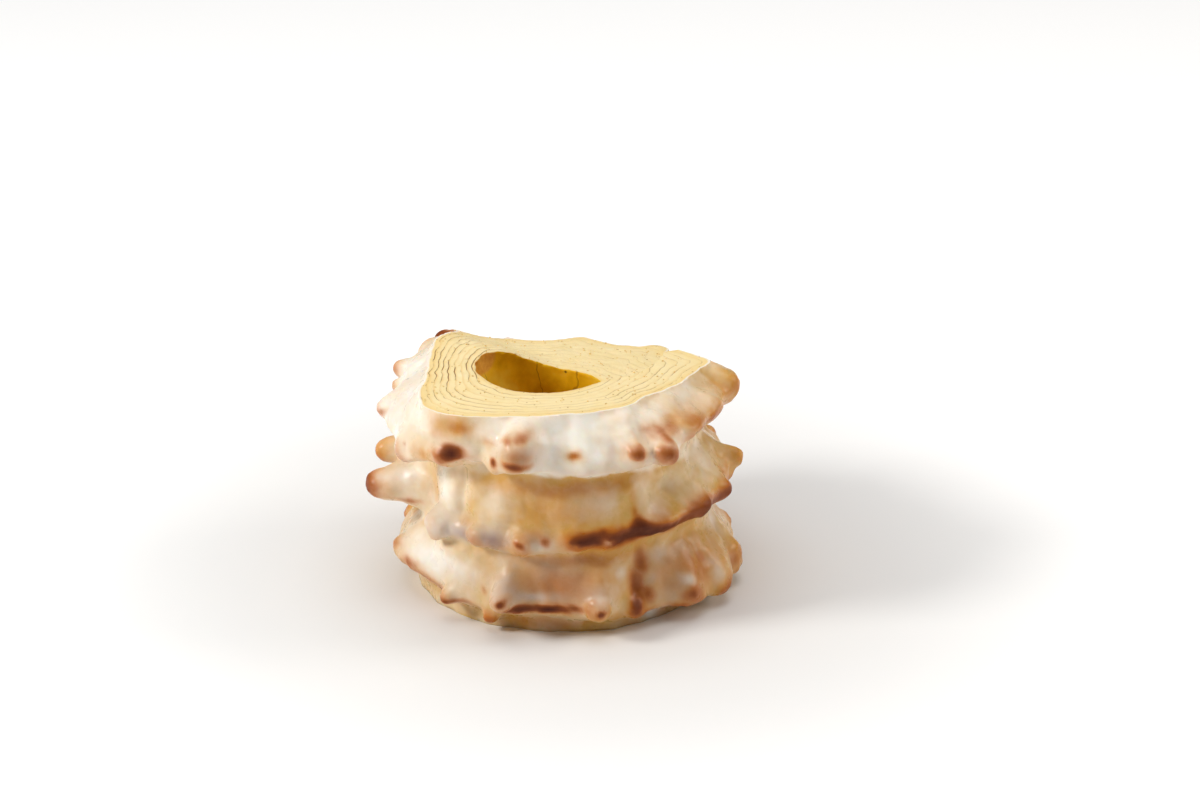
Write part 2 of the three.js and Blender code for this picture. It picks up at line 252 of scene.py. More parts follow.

# Single browned spots on the crust, with their width and tallness in millimetres, and how brown they are,
# and a few spots of painted shade, marked where they stand.
Spot = namedtuple("Spot", "angle height width tallness amount")
TOAST_AND_SHADE_SPOTS = (
    # Top tier
    Spot(134, 114, 7, 7, 0.75),
    Spot(163, 108, 5, 6, 0.3),
    Spot(189, 101, 5, 4, 0.5),
    Spot(213, 100, 2.5, 2.5, 0.4),
    Spot(222, 98.5, 9, 5, 0.3),
    Spot(229, 114.5, 12, 8, 0.27),
    Spot(235, 118, 10, 5, 0.38),
    Spot(234, 103.5, 8, 6, 1.0),
    Spot(247.5, 113.6, 6, 2.6, 0.32),
    Spot(253, 116.6, 6, 2.8, 0.38),
    Spot(259, 118.2, 7, 3, 0.43),
    Spot(258, 109, 10, 5.5, 0.37),
    Spot(249.4, 102.6, 3, 3, 0.75),
    Spot(257.7, 103.5, 8, 4, 0.75),
    Spot(277, 105.5, 4.5, 3, 0.52),
    Spot(287, 112, 4, 3, 0.25),
    Spot(289, 105, 9, 4, 0.22),
    Spot(297.5, 106.5, 6.5, 5.5, 0.52),
    Spot(306, 104.5, 7, 5.5, 0.52),
    Spot(305, 113.5, 7, 4, 0.4),
    Spot(308.5, 112.5, 5.5, 4, 0.5),
    Spot(313, 113.5, 12, 4.5, 0.42),
    Spot(325, 113.5, 13, 5, 0.4),
    Spot(337, 111, 12, 6, 0.24),
    Spot(353.5, 112, 13, 7, 0.32),
    # Middle tier
    Spot(191, 61, 4, 5, 0.45),
    Spot(177, 69, 5, 5, 0.4),
    Spot(195, 52, 4, 3, 0.5),
    # Painted shade: warm shade in the hollow at the middle tier's left, under the top tier's rim.
    Spot(207, 67, 9, 13, 0.16),
    Spot(236.5, 73, 3.5, 12, 0.1),
    Spot(234, 58.5, 9, 4, 0.2),
    Spot(240, 53, 12, 5, 0.28),
    Spot(252, 54, 12, 5, 0.18),
    Spot(258, 56, 3.5, 3, 0.55),
    Spot(264, 60, 18, 6, 0.3),
    Spot(267, 57, 3.5, 4, 0.6),
    # Painted shade: these two darken the middle tier's top under the top tier's rim and its front, where
    # shade falls.
    Spot(275, 85, 45, 7, 0.36),
    Spot(272, 74, 32, 14, 0.25),
    # Painted shade: these two draw a thin dark line along the left edge of the middle tier's dish.
    Spot(298.2, 78, 3, 7, 0.24),
    Spot(299.3, 70.5, 3, 4, 0.42),
    Spot(349.5, 66.5, 5, 5, 0.35),
    Spot(357, 69, 7, 6, 0.2),
    # Bottom tier
    Spot(195, 27, 7, 5, 0.3),
    Spot(204, 22, 10, 5, 0.5),
    Spot(231, 14, 14, 2.5, 0.5),
    Spot(245, 11.5, 6, 5, 0.36),
    Spot(253, 25, 3, 3, 0.7),
    Spot(244, 25, 3, 3, 0.4),
    Spot(259, 17.8, 13, 3.2, 0.9),
    Spot(268, 18.1, 13, 3.2, 0.95),
    Spot(276, 19, 8, 3.2, 0.65),
    Spot(284, 18, 3, 2.8, 0.7),
    Spot(265, 6, 28, 6, 0.35),
    # Painted shade: these two darken the bottom tier's front and its top under the middle tier's rim, where
    # shade falls.
    Spot(272, 31, 36, 17, 0.4),
    Spot(278, 44, 40, 6, 0.4),
    Spot(298.8, 15.5, 5, 8, 0.7),
    Spot(303, 37, 6, 12, 0.55),
    Spot(300.5, 23, 7, 15, 0.6),
    Spot(304.5, 19, 6, 6, 0.55),
    Spot(322, 27, 32, 17, 0.4),
    Spot(328, 31, 11, 7, 0.42),
    Spot(318.5, 16, 9, 6, 0.5),
    Spot(347, 18, 12, 10, 0.4),
    # Back
    Spot(40, 72, 45, 16, 0.2),
    Spot(95, 74, 45, 16, 0.24),
    Spot(150, 72, 45, 16, 0.18),
    Spot(30, 30, 45, 16, 0.26),
    Spot(90, 30, 45, 16, 0.2),
    Spot(150, 30, 45, 16, 0.24),
    Spot(110, 3, 90, 7, 0.3),
)

# The middle tier's browned lip: the band's bottom and top with their rises along the rim, how softly both
# fade, and how brown the band is, as angles and amounts.
LIP_BOTTOM = 53.5
LIP_BOTTOM_RISES = (Swell(270, 10, 3.5), Swell(354, 20, 4))
LIP_FADE_DOWN = (-3, 2)
LIP_TOP = 62.7
LIP_TOP_RISES = (Swell(270, 5, -2), Swell(300, 3.5, 6), Swell(328, 9, 4.5))
LIP_FADE_UP = (-4, 5)
LIP_TOASTS = ((270, 0), (278, 0.9), (303, 0.92), (345, 0.4), (355, 0))

# Single swells and hollows of the crust, with their height in millimetres as the amount.
RELIEF_SPOTS = (
    Spot(222, 107, 26, 3.5, -2.5),
    Spot(244, 102, 5, 9, -4.5),
    Spot(257, 105, 9, 8, 4),
    Spot(270, 105, 7, 9, -2.5),
    Spot(300, 112, 9, 5, -2),
    Spot(330, 119, 14, 4, -2),
    Spot(222, 77, 14, 10, 3),
    Spot(231, 76, 3.5, 14, -3.5),
    Spot(238, 76, 6, 12, 1.5),
    Spot(231, 54, 9, 6, 3.5),
    Spot(246, 54, 9, 6, 2),
    Spot(232, 63, 20, 3.5, -2),
    Spot(256, 63, 16, 3.5, -2),
    Spot(252, 74, 8, 10, 1.5),
    Spot(314, 74, 19, 9, -9),
    Spot(299, 74, 9, 13, 2.5),
    Spot(298, 61, 14, 4, 2.5),
    Spot(316, 63, 22, 4, 3.5),
    Spot(226, 42, 18, 5, 4),
    Spot(301, 24, 7, 18, -6),
    Spot(288, 30, 12, 12, 2),
    Spot(318, 24, 12, 10, 2),
    Spot(266, 26, 13, 8, -2.5),
    Spot(252, 29, 6, 11, 4),
    Spot(284, 25, 6, 10, 3),
)

# Whiteness of the glaze on each tier, from the bottom up, how far below and above a tier's foot it sets in,
# the most that it adds up to, and spots where it pooled or ran thin. One spot is painted light and one is
# painted shade, marked where they stand.
TIER_FROST = (0.12, 0.05, 0.6)
FROST_EDGE = (-2, 1)
MOST_FROST = 1.2
FROST_AND_SHADING_SPOTS = (
    Spot(233, 118, 10, 5, -0.5),
    Spot(223, 98.5, 8, 5, -0.3),
    Spot(258.5, 118, 8, 4, -0.4),
    Spot(277, 105.5, 5, 3.5, -0.8),
    Spot(247, 112, 7, 4, -0.35),
    Spot(255, 103.5, 10, 5, -0.35),
    Spot(315, 113.5, 16, 4, -0.3),
    Spot(335, 121, 16, 5, 0.45),
    Spot(188, 62, 14, 10, 0.3),
    # Painted shade: less glaze here shows warm shade in the hollow at the middle tier's left.
    Spot(208, 68, 8, 14, -0.3),
    Spot(222, 72, 16, 13, 0.5),
    Spot(222, 54, 26, 8, 0.7),
    Spot(234, 58.5, 8, 3, -0.3),
    Spot(236.5, 73, 4, 11, -0.15),
    Spot(246, 71, 9, 10, 0.22),
    Spot(249, 79, 8, 9, 0.18),
    Spot(250, 55, 24, 7, 0.8),
    Spot(266, 57, 12, 6, 0.4),
    Spot(288, 79, 10, 8, 0.22),
    # Painted light: whiter glaze brightens the left wall of the middle tier's dish, which faces away from the
    # main light.
    Spot(304, 78, 7, 10, 0.5),
    Spot(309, 67, 6, 3, 0.35),
    Spot(322, 81, 12, 8, 0.25),
    Spot(338, 80, 17, 10, 0.38),
    Spot(205, 30, 24, 10, 0.6),
    Spot(228, 30, 24, 9, 0.55),
    Spot(252, 28, 9, 9, 0.55),
    Spot(266, 25, 18, 5, 0.35),
    Spot(272, 35, 30, 11, 0.37),
    Spot(284, 24, 7, 7, 0.4),
    Spot(307, 28.5, 4, 4, 0.25),
    Spot(312, 40, 8, 5, 0.45),
    Spot(318, 24, 28, 16, 0.3),
    Spot(350, 37, 5, 8, 0.55),
)

# Thick drops of glaze that hide the browning under them.
GLAZE_DROPS = (
    Spot(193.5, 67, 5, 5, 0.3),
    Spot(288.3, 55.8, 4.5, 2.6, 0.65),
    Spot(264, 25, 11, 3, 0.28),
    Spot(283.5, 24, 6, 4.5, 0.22),
    Spot(295, 35, 3.5, 3.5, 0.5),
    Spot(309, 5, 4, 5, 0.8),
    Spot(317.5, 24, 5, 4, 0.6),
    Spot(332, 21.5, 4, 6, 0.5),
)

# Spots where the glaze lies as a thin lilac haze over browned crust.
HAZE_SPOTS = (
    Spot(195, 108, 30, 14, 0.15),
    Spot(258, 108, 10, 7, 1.0),
    Spot(190, 64, 12, 8, 0.12),
    Spot(225, 53, 18, 7, 0.3),
    Spot(236, 53, 14, 6, 0.85),
    Spot(249, 54, 22, 8, 1.0),
    Spot(272, 74, 30, 14, 0.35),
    Spot(268, 60, 16, 8, 0.7),
    Spot(240, 26, 24, 9, 0.3),
    Spot(268, 29, 34, 16, 1.0),
    Spot(318, 24, 30, 18, 0.9),
    Spot(345, 26, 22, 14, 0.7),
)

# Layers from the hole to the crust, how dark they were baked round the cake, and where the hole's edge is
# torn out, seen from its axis, with the heights between which the tear widens.
LAYER_COUNT = 9
LEAST_BAKED = 0.2
LAYER_BAKING = (Swell(185, 55, 0.7), Swell(335, 35, 0.35))
EDGE_TEARS = (Swell(150, 12, 3.5), Swell(168, 8, 2.5), Swell(185, 9, 1.8), Swell(330, 10, 1.5))
TEAR_HEIGHTS = (110, 123)

# Colours of the glaze, the crust from pale to darkest, the cut sponge with its golden edges, layers and
# pores, the spit side with its marks and torn edge, the loose crumbs, and the card under the cake.
GLAZE_COLOUR = "#FCF3E7"
THIN_GLAZE_COLOUR = "#A98A7D"
CRUST_COLOURS = ((0, "#DAB46C"), (0.25, "#D59B4C"), (0.45, "#BE7028"), (0.65, "#8E4614"), (1, "#4A1400"))
SPONGE_COLOURS = ("#FBEABF", "#F0D592")
GOLDEN_SPONGE_COLOUR = "#EFCB7A"
BAKED_SPONGE_COLOUR = "#E6BC70"
LAYER_LINE_COLOUR = "#7A4210"
PORE_COLOUR = "#A8702C"
SPIT_SIDE_COLOURS = ((0.3, "#D29A00"), (0.5, "#EAB414"), (0.7, "#F4CE46"))
SPIT_MARK_COLOUR = "#5E3406"
TORN_COLOURS = ("#F8C254", "#BE6806")
CRUMB_COLOURS = ("#F3DC98", "#D9A85C")
CARD_COLOUR = "#EDEDED"
WHITE = "#FFFFFF"

# The photograph's frame in pixels, its scale in millimetres to a pixel, and where the foot of the cake's axis
# falls in it. The camera has its tilt in degrees, its distance in metres and its sensor in millimetres.
PHOTO_SIZE = (1200, 800)
PHOTO_SCALE = 0.55
AXIS_FOOT_PIXEL = (557, 572)
CAMERA_ELEVATION = 22.6
CAMERA_DISTANCE = 3.0
SENSOR_WIDTH = 36

# The floor's size in metres, its glow and the distances in metres between which that sets in, and the lights:
# name, place and size in metres, watts and colour. The main light stands to the left.
FLOOR_SIZE = 8
ROOM_LIGHT = 0.12
FLOOR_GLOW = 0.4
FLOOR_GLOW_REACH = (0.11, 0.42)
LIGHTS = (
    ("window", (-1.35, -0.45, 1.0), 0.5, 17.0, "#FFFDF8"),
    ("side_card", (1.45, 0.15, 0.85), 0.8, 8, "#FFF6EA"),
    ("ceiling", (0.0, 0.0, 1.9), 2.0, 21.0, "#FFFFFF"),
)

# The hole's axis is in the record, and the cake's own axis lies beside it.
hole_box = np.array(frame["record"]["physics"]["openings"][0]["box_m"])
HOLE_AXIS = hole_box.mean(0)[:2] / MM
CAKE_AXIS = HOLE_AXIS - HOLE_CENTRE


# Placing

def to_frame(points):
    """Points in millimetres from the cake's axis, as points of the shared frame in metres."""
    moved = np.array(points, float)
    moved[:, :2] += CAKE_AXIS
    return moved * MM


def from_frame(points):
    """Points of the shared frame in metres, as points in millimetres from the cake's axis."""
    moved = np.array(points, float) / MM
    moved[:, :2] -= CAKE_AXIS
    return moved


def ring_points(centre, radius, angles, height):
    """Points at a radius and a height round an upright axis."""
    x = centre[0] + radius * np.cos(np.radians(angles))
    y = centre[1] + radius * np.sin(np.radians(angles))
    return np.stack([x, y, np.broadcast_to(height, x.shape)], 1)


def smooth_step(value, low, high):
    share = np.clip((value - low) / (high - low), 0, 1)
    return share * share * (3 - 2 * share)


# The rule of the tiers

def swelling(swells, angles):
    total = np.zeros_like(angles)
    for swell in swells:
        away = np.abs((angles - swell.angle + 180) % 360 - 180)
        total += swell.height * np.exp(-((away / swell.width) ** 2))
    return total


def rim_radius(index, angles):
    """Radius of a tier's rim, swollen towards its knobs."""
    tier = TIERS[index]
    towards_knobs = np.full_like(angles, -np.inf)
    for knob in tier.knobs:
        pull = KNOB_SWELL_SHARE * (knob.reach - RIM_RADIUS)
        swell = Swell(knob.angle, KNOB_SWELL_WIDTH, pull)
        towards_knobs = np.maximum(towards_knobs, swelling([swell], angles))
    radius = RIM_RADIUS + swelling(tier.rim_swells, angles) + towards_knobs
    for count, height in WAVES:
        radius += height * np.sin(np.radians(count * angles) + index * count)
    return radius


def neck_radius(index, angles):
    if index < 0:
        return np.full_like(angles, BASE_RADIUS)
    return NECK_RADIUS + swelling(TIERS[index].neck_swells, angles)


def join_height(index, angles):
    """Height of the join at a tier's top, or of the base."""
    if index < 0:
        return np.zeros_like(angles)
    return (index + 1) * TIER_HEIGHT + swelling(TIERS[index].join_lifts, angles)


def rim_height(index, angles):
    """Height of a tier's widest line, just clear of the join under it."""
    rim = (index + TIERS[index].rim_height + swelling(TIERS[index].rim_lifts, angles)) * TIER_HEIGHT
    return np.maximum(rim, join_height(index - 1, angles) + RIM_CLEARANCE)


def tier_ring(index, above, share, angles):
    """Height and radius of one ring of a tier, below or above its rim."""
    rim = rim_height(index, angles)
    widest = rim_radius(index, angles)
    if above:
        bulge = math.cos(math.pi / 2 * share) ** SHOULDER_ROUNDING
        neck = neck_radius(index, angles)
        height = rim + (join_height(index, angles) - rim) * share
    else:
        bulge = math.sin(math.pi / 2 * share) ** UNDERSIDE_ROUNDING
        neck = neck_radius(index - 1, angles)
        foot = join_height(index - 1, angles)
        height = foot + (rim - foot) * share
    return height, neck + (widest - neck) * bulge


def tier_rings(angles):
    """All rings from under the base to over the level cut, as points."""
    found = []
    for index, tier in enumerate(TIERS):
        shares = [(False, step / RINGS_BELOW_RIM) for step in range(RINGS_BELOW_RIM)]
        shares += [(True, step / RINGS_ABOVE_RIM) for step in range(RINGS_ABOVE_RIM)]
        if index == TIER_COUNT - 1:
            shares.append((True, 1))
        for above, share in shares:
            height, radius = tier_ring(index, above, share, angles)
            found.append(ring_points(tier.centre, radius, angles, height))
    found.insert(0, found[0] - (0, 0, OVERCUT))
    found.append(found[-1] + (0, 0, OVERCUT))
    return np.array(found)


# Objects, and meshes from arrays

def put_in_scene(name, data):
    """A new object that shows a mesh, a light or a camera."""
    obj = bpy.data.objects.new(name, data)
    bpy.context.scene.collection.objects.link(obj)
    return obj


def new_object(name, points, faces, material=None):
    """A mesh object at the origin, from points in millimetres from the cake's axis."""
    mesh = bpy.data.meshes.new(name)
    mesh.from_pydata(to_frame(points).tolist(), [], faces)
    if material:
        mesh.materials.append(material)
    return put_in_scene(name, mesh)


def capped_rings(name, rings, material=None):
    """A closed shape from rings of points, bottom to top, with both ends closed."""
    count, columns = rings.shape[:2]
    points = np.concatenate([rings.reshape(-1, 3), rings[:1].mean(1), rings[-1:].mean(1)])
    top = (count - 1) * columns
    foot = count * columns
    faces = []
    for column in range(columns):
        follower = (column + 1) % columns
        faces.append([follower, column, foot])
        faces.append([top + column, top + follower, foot + 1])
        for row in range(0, top, columns):
            above = row + columns
            faces.append([row + column, row + follower, above + follower, above + column])
    return new_object(name, points, faces, material)


def block_lattice(counts):
    """A block's surface with that many cells each way: points as shares along its axes, and faces."""
    shape = [count + 1 for count in counts]
    shares = np.stack(np.meshgrid(*[np.linspace(0, 1, size) for size in shape], indexing="ij"), -1)
    on_surface = ((shares == 0) | (shares == 1)).any(-1)
    numbers = np.full(shape, -1)
    numbers[on_surface] = np.arange(on_surface.sum())
    faces = []
    for axis in range(3):
        across = np.moveaxis(numbers, [axis, (axis + 1) % 3, (axis + 2) % 3], [0, 1, 2])
        for side, outward in ((across[0], False), (across[-1], True)):
            corners = [side[:-1, :-1], side[1:, :-1], side[1:, 1:], side[:-1, 1:]]
            if not outward:
                corners.reverse()
            faces.append(np.stack([corner.ravel() for corner in corners], 1))
    return shares[on_surface], np.concatenate(faces).tolist()


def mesh_points(mesh):
    """A mesh's points in millimetres from the cake's axis."""
    flat = np.empty(len(mesh.vertices) * 3, np.float32)
    mesh.vertices.foreach_get("co", flat)
    return from_frame(flat.reshape(-1, 3))


def set_mesh_points(mesh, points):
    mesh.vertices.foreach_set("co", to_frame(points).astype(np.float32).ravel())
    mesh.update()


def attribute_values(mesh, name):
    values = np.empty(len(mesh.vertices), np.float32)
    mesh.attributes[name].data.foreach_get("value", values)
    return values


def set_attribute(mesh, name, values):
    layer = mesh.attributes.get(name) or mesh.attributes.new(name, "FLOAT", "POINT")
    layer.data.foreach_set("value", np.asarray(values, np.float32))


# Nodes, and settings that many of them share

SMOOTH = {"interpolation_type": "SMOOTHSTEP"}
COLOUR_MIX = {"data_type": "RGBA"}


def add(tree, kind, settings=None, **inputs):
    """Adds a node. Settings are its own properties. Inputs are its sockets by name, with spaces as
    underscores, or by number after an underscore, and each takes another socket or a value."""
    node = tree.nodes.new(kind)
    for name, value in (settings or {}).items():
        setattr(node, name, value)
    for name, value in inputs.items():
        key = int(name[1:]) if name[0] == "_" else name.replace("_", " ")
        sources = value if isinstance(value, list) else [value]
        for source in sources:
            if isinstance(source, bpy.types.NodeSocket):
                tree.links.new(source, node.inputs[key])
            else:
                node.inputs[key].default_value = source
    return node


def geometry_tree(name, sockets):
    """A new geometry tree with named inputs, its inputs' sockets and their identifiers."""
    tree = bpy.data.node_groups.new(name, "GeometryNodeTree")
    tree.interface.new_socket("Geometry", in_out="INPUT", socket_type="NodeSocketGeometry")
    tree.interface.new_socket("Geometry", in_out="OUTPUT", socket_type="NodeSocketGeometry")
    identifiers = {}
    for label, kind in sockets.items():
        socket = tree.interface.new_socket(label, in_out="INPUT", socket_type=f"NodeSocket{kind}")
        identifiers[label] = socket.identifier
    return tree, tree.nodes.new("NodeGroupInput").outputs, identifiers


def grow(obj, tree, identifiers, values):
    """The object's mesh as the tree makes it, as a plain mesh."""
    modifier = obj.modifiers.new(tree.name, "NODES")
    modifier.node_group = tree
    for label, value in values.items():
        modifier[identifiers[label]] = value
    evaluated = obj.evaluated_get(bpy.context.evaluated_depsgraph_get())
    mesh = bpy.data.meshes.new_from_object(evaluated)
    obj.modifiers.remove(modifier)
    for slot in reversed(range(len(mesh.materials))):
        if mesh.materials[slot] is None:
            mesh.materials.pop(index=slot)
    return mesh


def hex_colour(text):
    """A linear colour from an sRGB hex value."""
    parts = [int(text[place:place + 2], 16) / 255 for place in (1, 3, 5)]
    linear = [part / 12.92 if part <= 0.04045 else ((part + 0.055) / 1.055) ** 2.4 for part in parts]
    return (*linear, 1)


def relief(tree, geometry, lumps):
    """Moves a surface along its normals by noise, for lumps given as size, height and upright stretch."""
    for size, height, stretch in lumps:
        place = add(tree, "GeometryNodeInputPosition")
        drawn = add(
            tree, "ShaderNodeVectorMath", {"operation": "MULTIPLY"},
            _0=place.outputs[0], _1=(1, 1, 1 / stretch),
        )
        bumps = add(
            tree, "ShaderNodeTexNoise",
            Vector=drawn.outputs[0], Scale=1 / (size * MM), Detail=2.0, Roughness=0.5,
        )
        centred = add(tree, "ShaderNodeMath", {"operation": "SUBTRACT"}, _0=bumps.outputs[0], _1=0.5)
        amount = add(
            tree, "ShaderNodeMath", {"operation": "MULTIPLY"}, _0=centred.outputs[0], _1=2 * height * MM
        )
        normal = add(tree, "GeometryNodeInputNormal")
        offset = add(
            tree, "ShaderNodeVectorMath", {"operation": "SCALE"},
            _0=normal.outputs[0], Scale=amount.outputs[0],
        )
        moved = add(tree, "GeometryNodeSetPosition", Geometry=geometry, Offset=offset.outputs[0])
        geometry = moved.outputs[0]
    return geometry


# Knobs fused to the tiers

def all_knobs():
    return [knob for tier in TIERS for knob in tier.knobs]


def knob_tips():
    """The knobs' tips, and the directions in which they point."""
    turn = np.radians([knob.angle for knob in all_knobs()])
    lift = np.radians([knob.lift for knob in all_knobs()])
    reach = np.array([knob.reach for knob in all_knobs()])
    height = np.array([knob.height for knob in all_knobs()])
    tips = np.stack([reach * np.cos(turn), reach * np.sin(turn), height], 1)
    outwards = np.stack([np.cos(turn) * np.cos(lift), np.sin(turn) * np.cos(lift), np.sin(lift)], 1)
    return tips, outwards


def knob_tips_object():
    """One point for each knob's tip, with its direction and thickness."""
    tips, outwards = knob_tips()
    obj = new_object("knob_tips", tips, [])
    direction = obj.data.attributes.new("outwards", "FLOAT_VECTOR", "POINT")
    direction.data.foreach_set("vector", outwards.astype(np.float32).ravel())
    set_attribute(obj.data, "thickness", np.array([knob.thickness for knob in all_knobs()]) * MM)
    return obj


def set_knob_outline(node):
    """Gives a curve node the knob's radius from root to tip, with a round tip."""
    points = [(1 - out / KNOB_LENGTH, radius / KNOB_ROOT) for out, radius in KNOB_OUTLINE]
    for turn in KNOB_TIP_TURNS:
        from_tip = 1 - math.sin(math.radians(turn))
        points.append((1 - from_tip / KNOB_LENGTH, math.cos(math.radians(turn)) / KNOB_ROOT))
    curve = node.mapping.curves[0]
    curve.points[0].location = points[0]
    curve.points[1].location = (1, 0)
    for point in points[1:]:
        curve.points.new(*point)
    for point in curve.points:
        point.handle_type = "VECTOR"
    node.mapping.update()


def knobbed_tiers_tree():
    """Knobs on their points, fused with the tiers, softened and given the batter's lumps."""
    sockets = {"Knob Tips": "Object", "Voxel": "Float", "Softening": "Int", "Crust": "Material"}
    tree, inputs, identifiers = geometry_tree("knobbed tiers", sockets)
    line = add(tree, "GeometryNodeCurvePrimitiveLine", Start=(0, 0, -KNOB_LENGTH), End=(0, 0, 0))
    stem = add(tree, "GeometryNodeResampleCurve", Curve=line.outputs[0], Count=KNOB_STEM_POINTS)
    along = add(tree, "GeometryNodeSplineParameter")
    outline = add(tree, "ShaderNodeFloatCurve", Value=along.outputs["Factor"])
    set_knob_outline(outline)
    radius = add(tree, "ShaderNodeMath", {"operation": "MULTIPLY"}, _0=outline.outputs[0], _1=KNOB_ROOT)
    ring = add(tree, "GeometryNodeCurvePrimitiveCircle", Resolution=KNOB_SIDES, Radius=1.0)
    knob = add(
        tree, "GeometryNodeCurveToMesh", Curve=stem.outputs[0], Profile_Curve=ring.outputs[0],
        Scale=radius.outputs[0], Fill_Caps=True,
    )
    tips = add(tree, "GeometryNodeObjectInfo", Object=inputs["Knob Tips"])
    outwards = add(tree, "GeometryNodeInputNamedAttribute", {"data_type": "FLOAT_VECTOR"}, Name="outwards")
    thickness = add(tree, "GeometryNodeInputNamedAttribute", {"data_type": "FLOAT"}, Name="thickness")
    turned = add(tree, "FunctionNodeAlignRotationToVector", {"axis": "Z"}, Vector=outwards.outputs[0])
    knobs = add(
        tree, "GeometryNodeInstanceOnPoints", Points=tips.outputs["Geometry"], Instance=knob.outputs[0],
        Rotation=turned.outputs[0], Scale=thickness.outputs[0],
    )
    loose = add(tree, "GeometryNodeRealizeInstances", Geometry=knobs.outputs[0])
    parts = add(tree, "GeometryNodeJoinGeometry", Geometry=[inputs["Geometry"], loose.outputs[0]])
    grid = add(tree, "GeometryNodeMeshToSDFGrid", Mesh=parts.outputs[0], Voxel_Size=inputs["Voxel"])
    skin = add(tree, "GeometryNodeGridToMesh", Grid=grid.outputs[0], Threshold=0.0)
    place = add(tree, "GeometryNodeInputPosition")
    blurred = add(
        tree, "GeometryNodeBlurAttribute", {"data_type": "FLOAT_VECTOR"},
        Value=place.outputs[0], Iterations=inputs["Softening"],
    )
    soft = add(tree, "GeometryNodeSetPosition", Geometry=skin.outputs[0], Position=blurred.outputs[0])
    lumpy = relief(tree, soft.outputs[0], BATTER_LUMPS)
    level = add(
        tree, "GeometryNodeBlurAttribute", {"data_type": "FLOAT_VECTOR"},
        Value=place.outputs[0], Iterations=PROUD_BLUR,
    )
    away = add(
        tree, "ShaderNodeVectorMath", {"operation": "SUBTRACT"}, _0=place.outputs[0], _1=level.outputs[0]
    )
    normal = add(tree, "GeometryNodeInputNormal")
    proud = add(
        tree, "ShaderNodeVectorMath", {"operation": "DOT_PRODUCT"},
        _0=away.outputs[0], _1=normal.outputs[0],
    )
    kept = add(
        tree, "GeometryNodeStoreNamedAttribute", {"data_type": "FLOAT", "domain": "POINT"},
        Geometry=lumpy, Name="proud", Value=proud.outputs["Value"],
    )
    coated = add(tree, "GeometryNodeSetMaterial", Geometry=kept.outputs[0], Material=inputs["Crust"])
    add(tree, "NodeGroupOutput", _0=coated.outputs[0])
    return tree, identifiers


def crust_object(material):
    """The whole cake before it was cut: tiers, knobs and lumps in one closed skin."""
    angles = np.arange(TIER_COLUMNS) * 360 / TIER_COLUMNS
    tiers = capped_rings("tiers", tier_rings(angles))
    tips = knob_tips_object()
    tree, identifiers = knobbed_tiers_tree()
    mesh = grow(tiers, tree, identifiers, {
        "Knob Tips": tips,
        "Voxel": CRUST_VOXEL * MM,
        "Softening": CRUST_SOFTENING,
        "Crust": material,
    })
    bpy.data.objects.remove(tiers)
    bpy.data.objects.remove(tips)
    add_relief_spots(mesh)
    return put_in_scene("glazed_cake", mesh)


# Browning and glaze, with some painted light and shade

def angle_of(points):
    return np.degrees(np.arctan2(points[:, 1], points[:, 0])) % 360


def warped(points):
    """Points moved a little about by noise, so that what is drawn with them has uneven edges."""
    noise.seed_set(WARP_SEED)
    moved = points.copy()
    for size, reach in SPOT_WARPS:
        moves = [noise.noise_vector(Vector(point) / size) for point in points]
        moved += reach * np.array(moves)
    return moved


def near_spot(spot, points):
    """How near points are to a spot on the crust, from 1 at its middle to 0."""
    away = (angle_of(points) - spot.angle + 180) % 360 - 180
    across = np.radians(away) * np.hypot(points[:, 0], points[:, 1]) / spot.width
    along = (points[:, 2] - spot.height) / spot.tallness
    return np.exp(-(across ** 2) - along ** 2)


def add_relief_spots(mesh):
    """Pushes the crust in or out at its single hollows and swells."""
    points = mesh_points(mesh)
    outwards = points * (1, 1, 0)
    outwards /= np.maximum(np.linalg.norm(outwards, axis=1, keepdims=True), 1)
    moved = points.copy()
    for spot in RELIEF_SPOTS:
        moved += outwards * (spot.amount * near_spot(spot, points))[:, None]
    set_mesh_points(mesh, moved)


def lip_toast(points):
    """How brown the middle tier's lip is, in a band that fades to gold at its top."""
    angles = angle_of(points)
    bottom = LIP_BOTTOM + swelling(LIP_BOTTOM_RISES, angles)
    top = LIP_TOP + swelling(LIP_TOP_RISES, angles)
    over = smooth_step(points[:, 2] - bottom, *LIP_FADE_DOWN)
    under = smooth_step(top - points[:, 2], *LIP_FADE_UP)
    return np.interp(angles, *zip(*LIP_TOASTS)) * over * under


def toast_and_shade_at(points):
    """How brown the crust was baked: on knob tips, under the rims and on spots, a few of them painted shade.
    """
    toast = np.zeros(len(points))
    for knob, tip in zip(all_knobs(), knob_tips()[0]):
        away = np.linalg.norm(points - tip, axis=1) / knob.thickness
        toast = np.maximum(toast, knob.toast * (1 - smooth_step(away, 0, KNOB_TOAST_REACH)))
    angles = angle_of(points)
    for index, tier in enumerate(TIERS):
        below_rim = rim_height(index, angles) - points[:, 2]
        under_rim = np.exp(-(((below_rim - RIM_TOAST_DROPS[index]) / RIM_TOAST_HEIGHT) ** 2))
        toast = np.maximum(toast, swelling(tier.rim_toast, angles) * under_rim)
    for spot in TOAST_AND_SHADE_SPOTS:
        toast = np.maximum(toast, spot.amount * near_spot(spot, points))
    toast = np.maximum(toast, lip_toast(points))
    for drop in GLAZE_DROPS:
        toast *= 1 - drop.amount * near_spot(drop, points)
    return toast


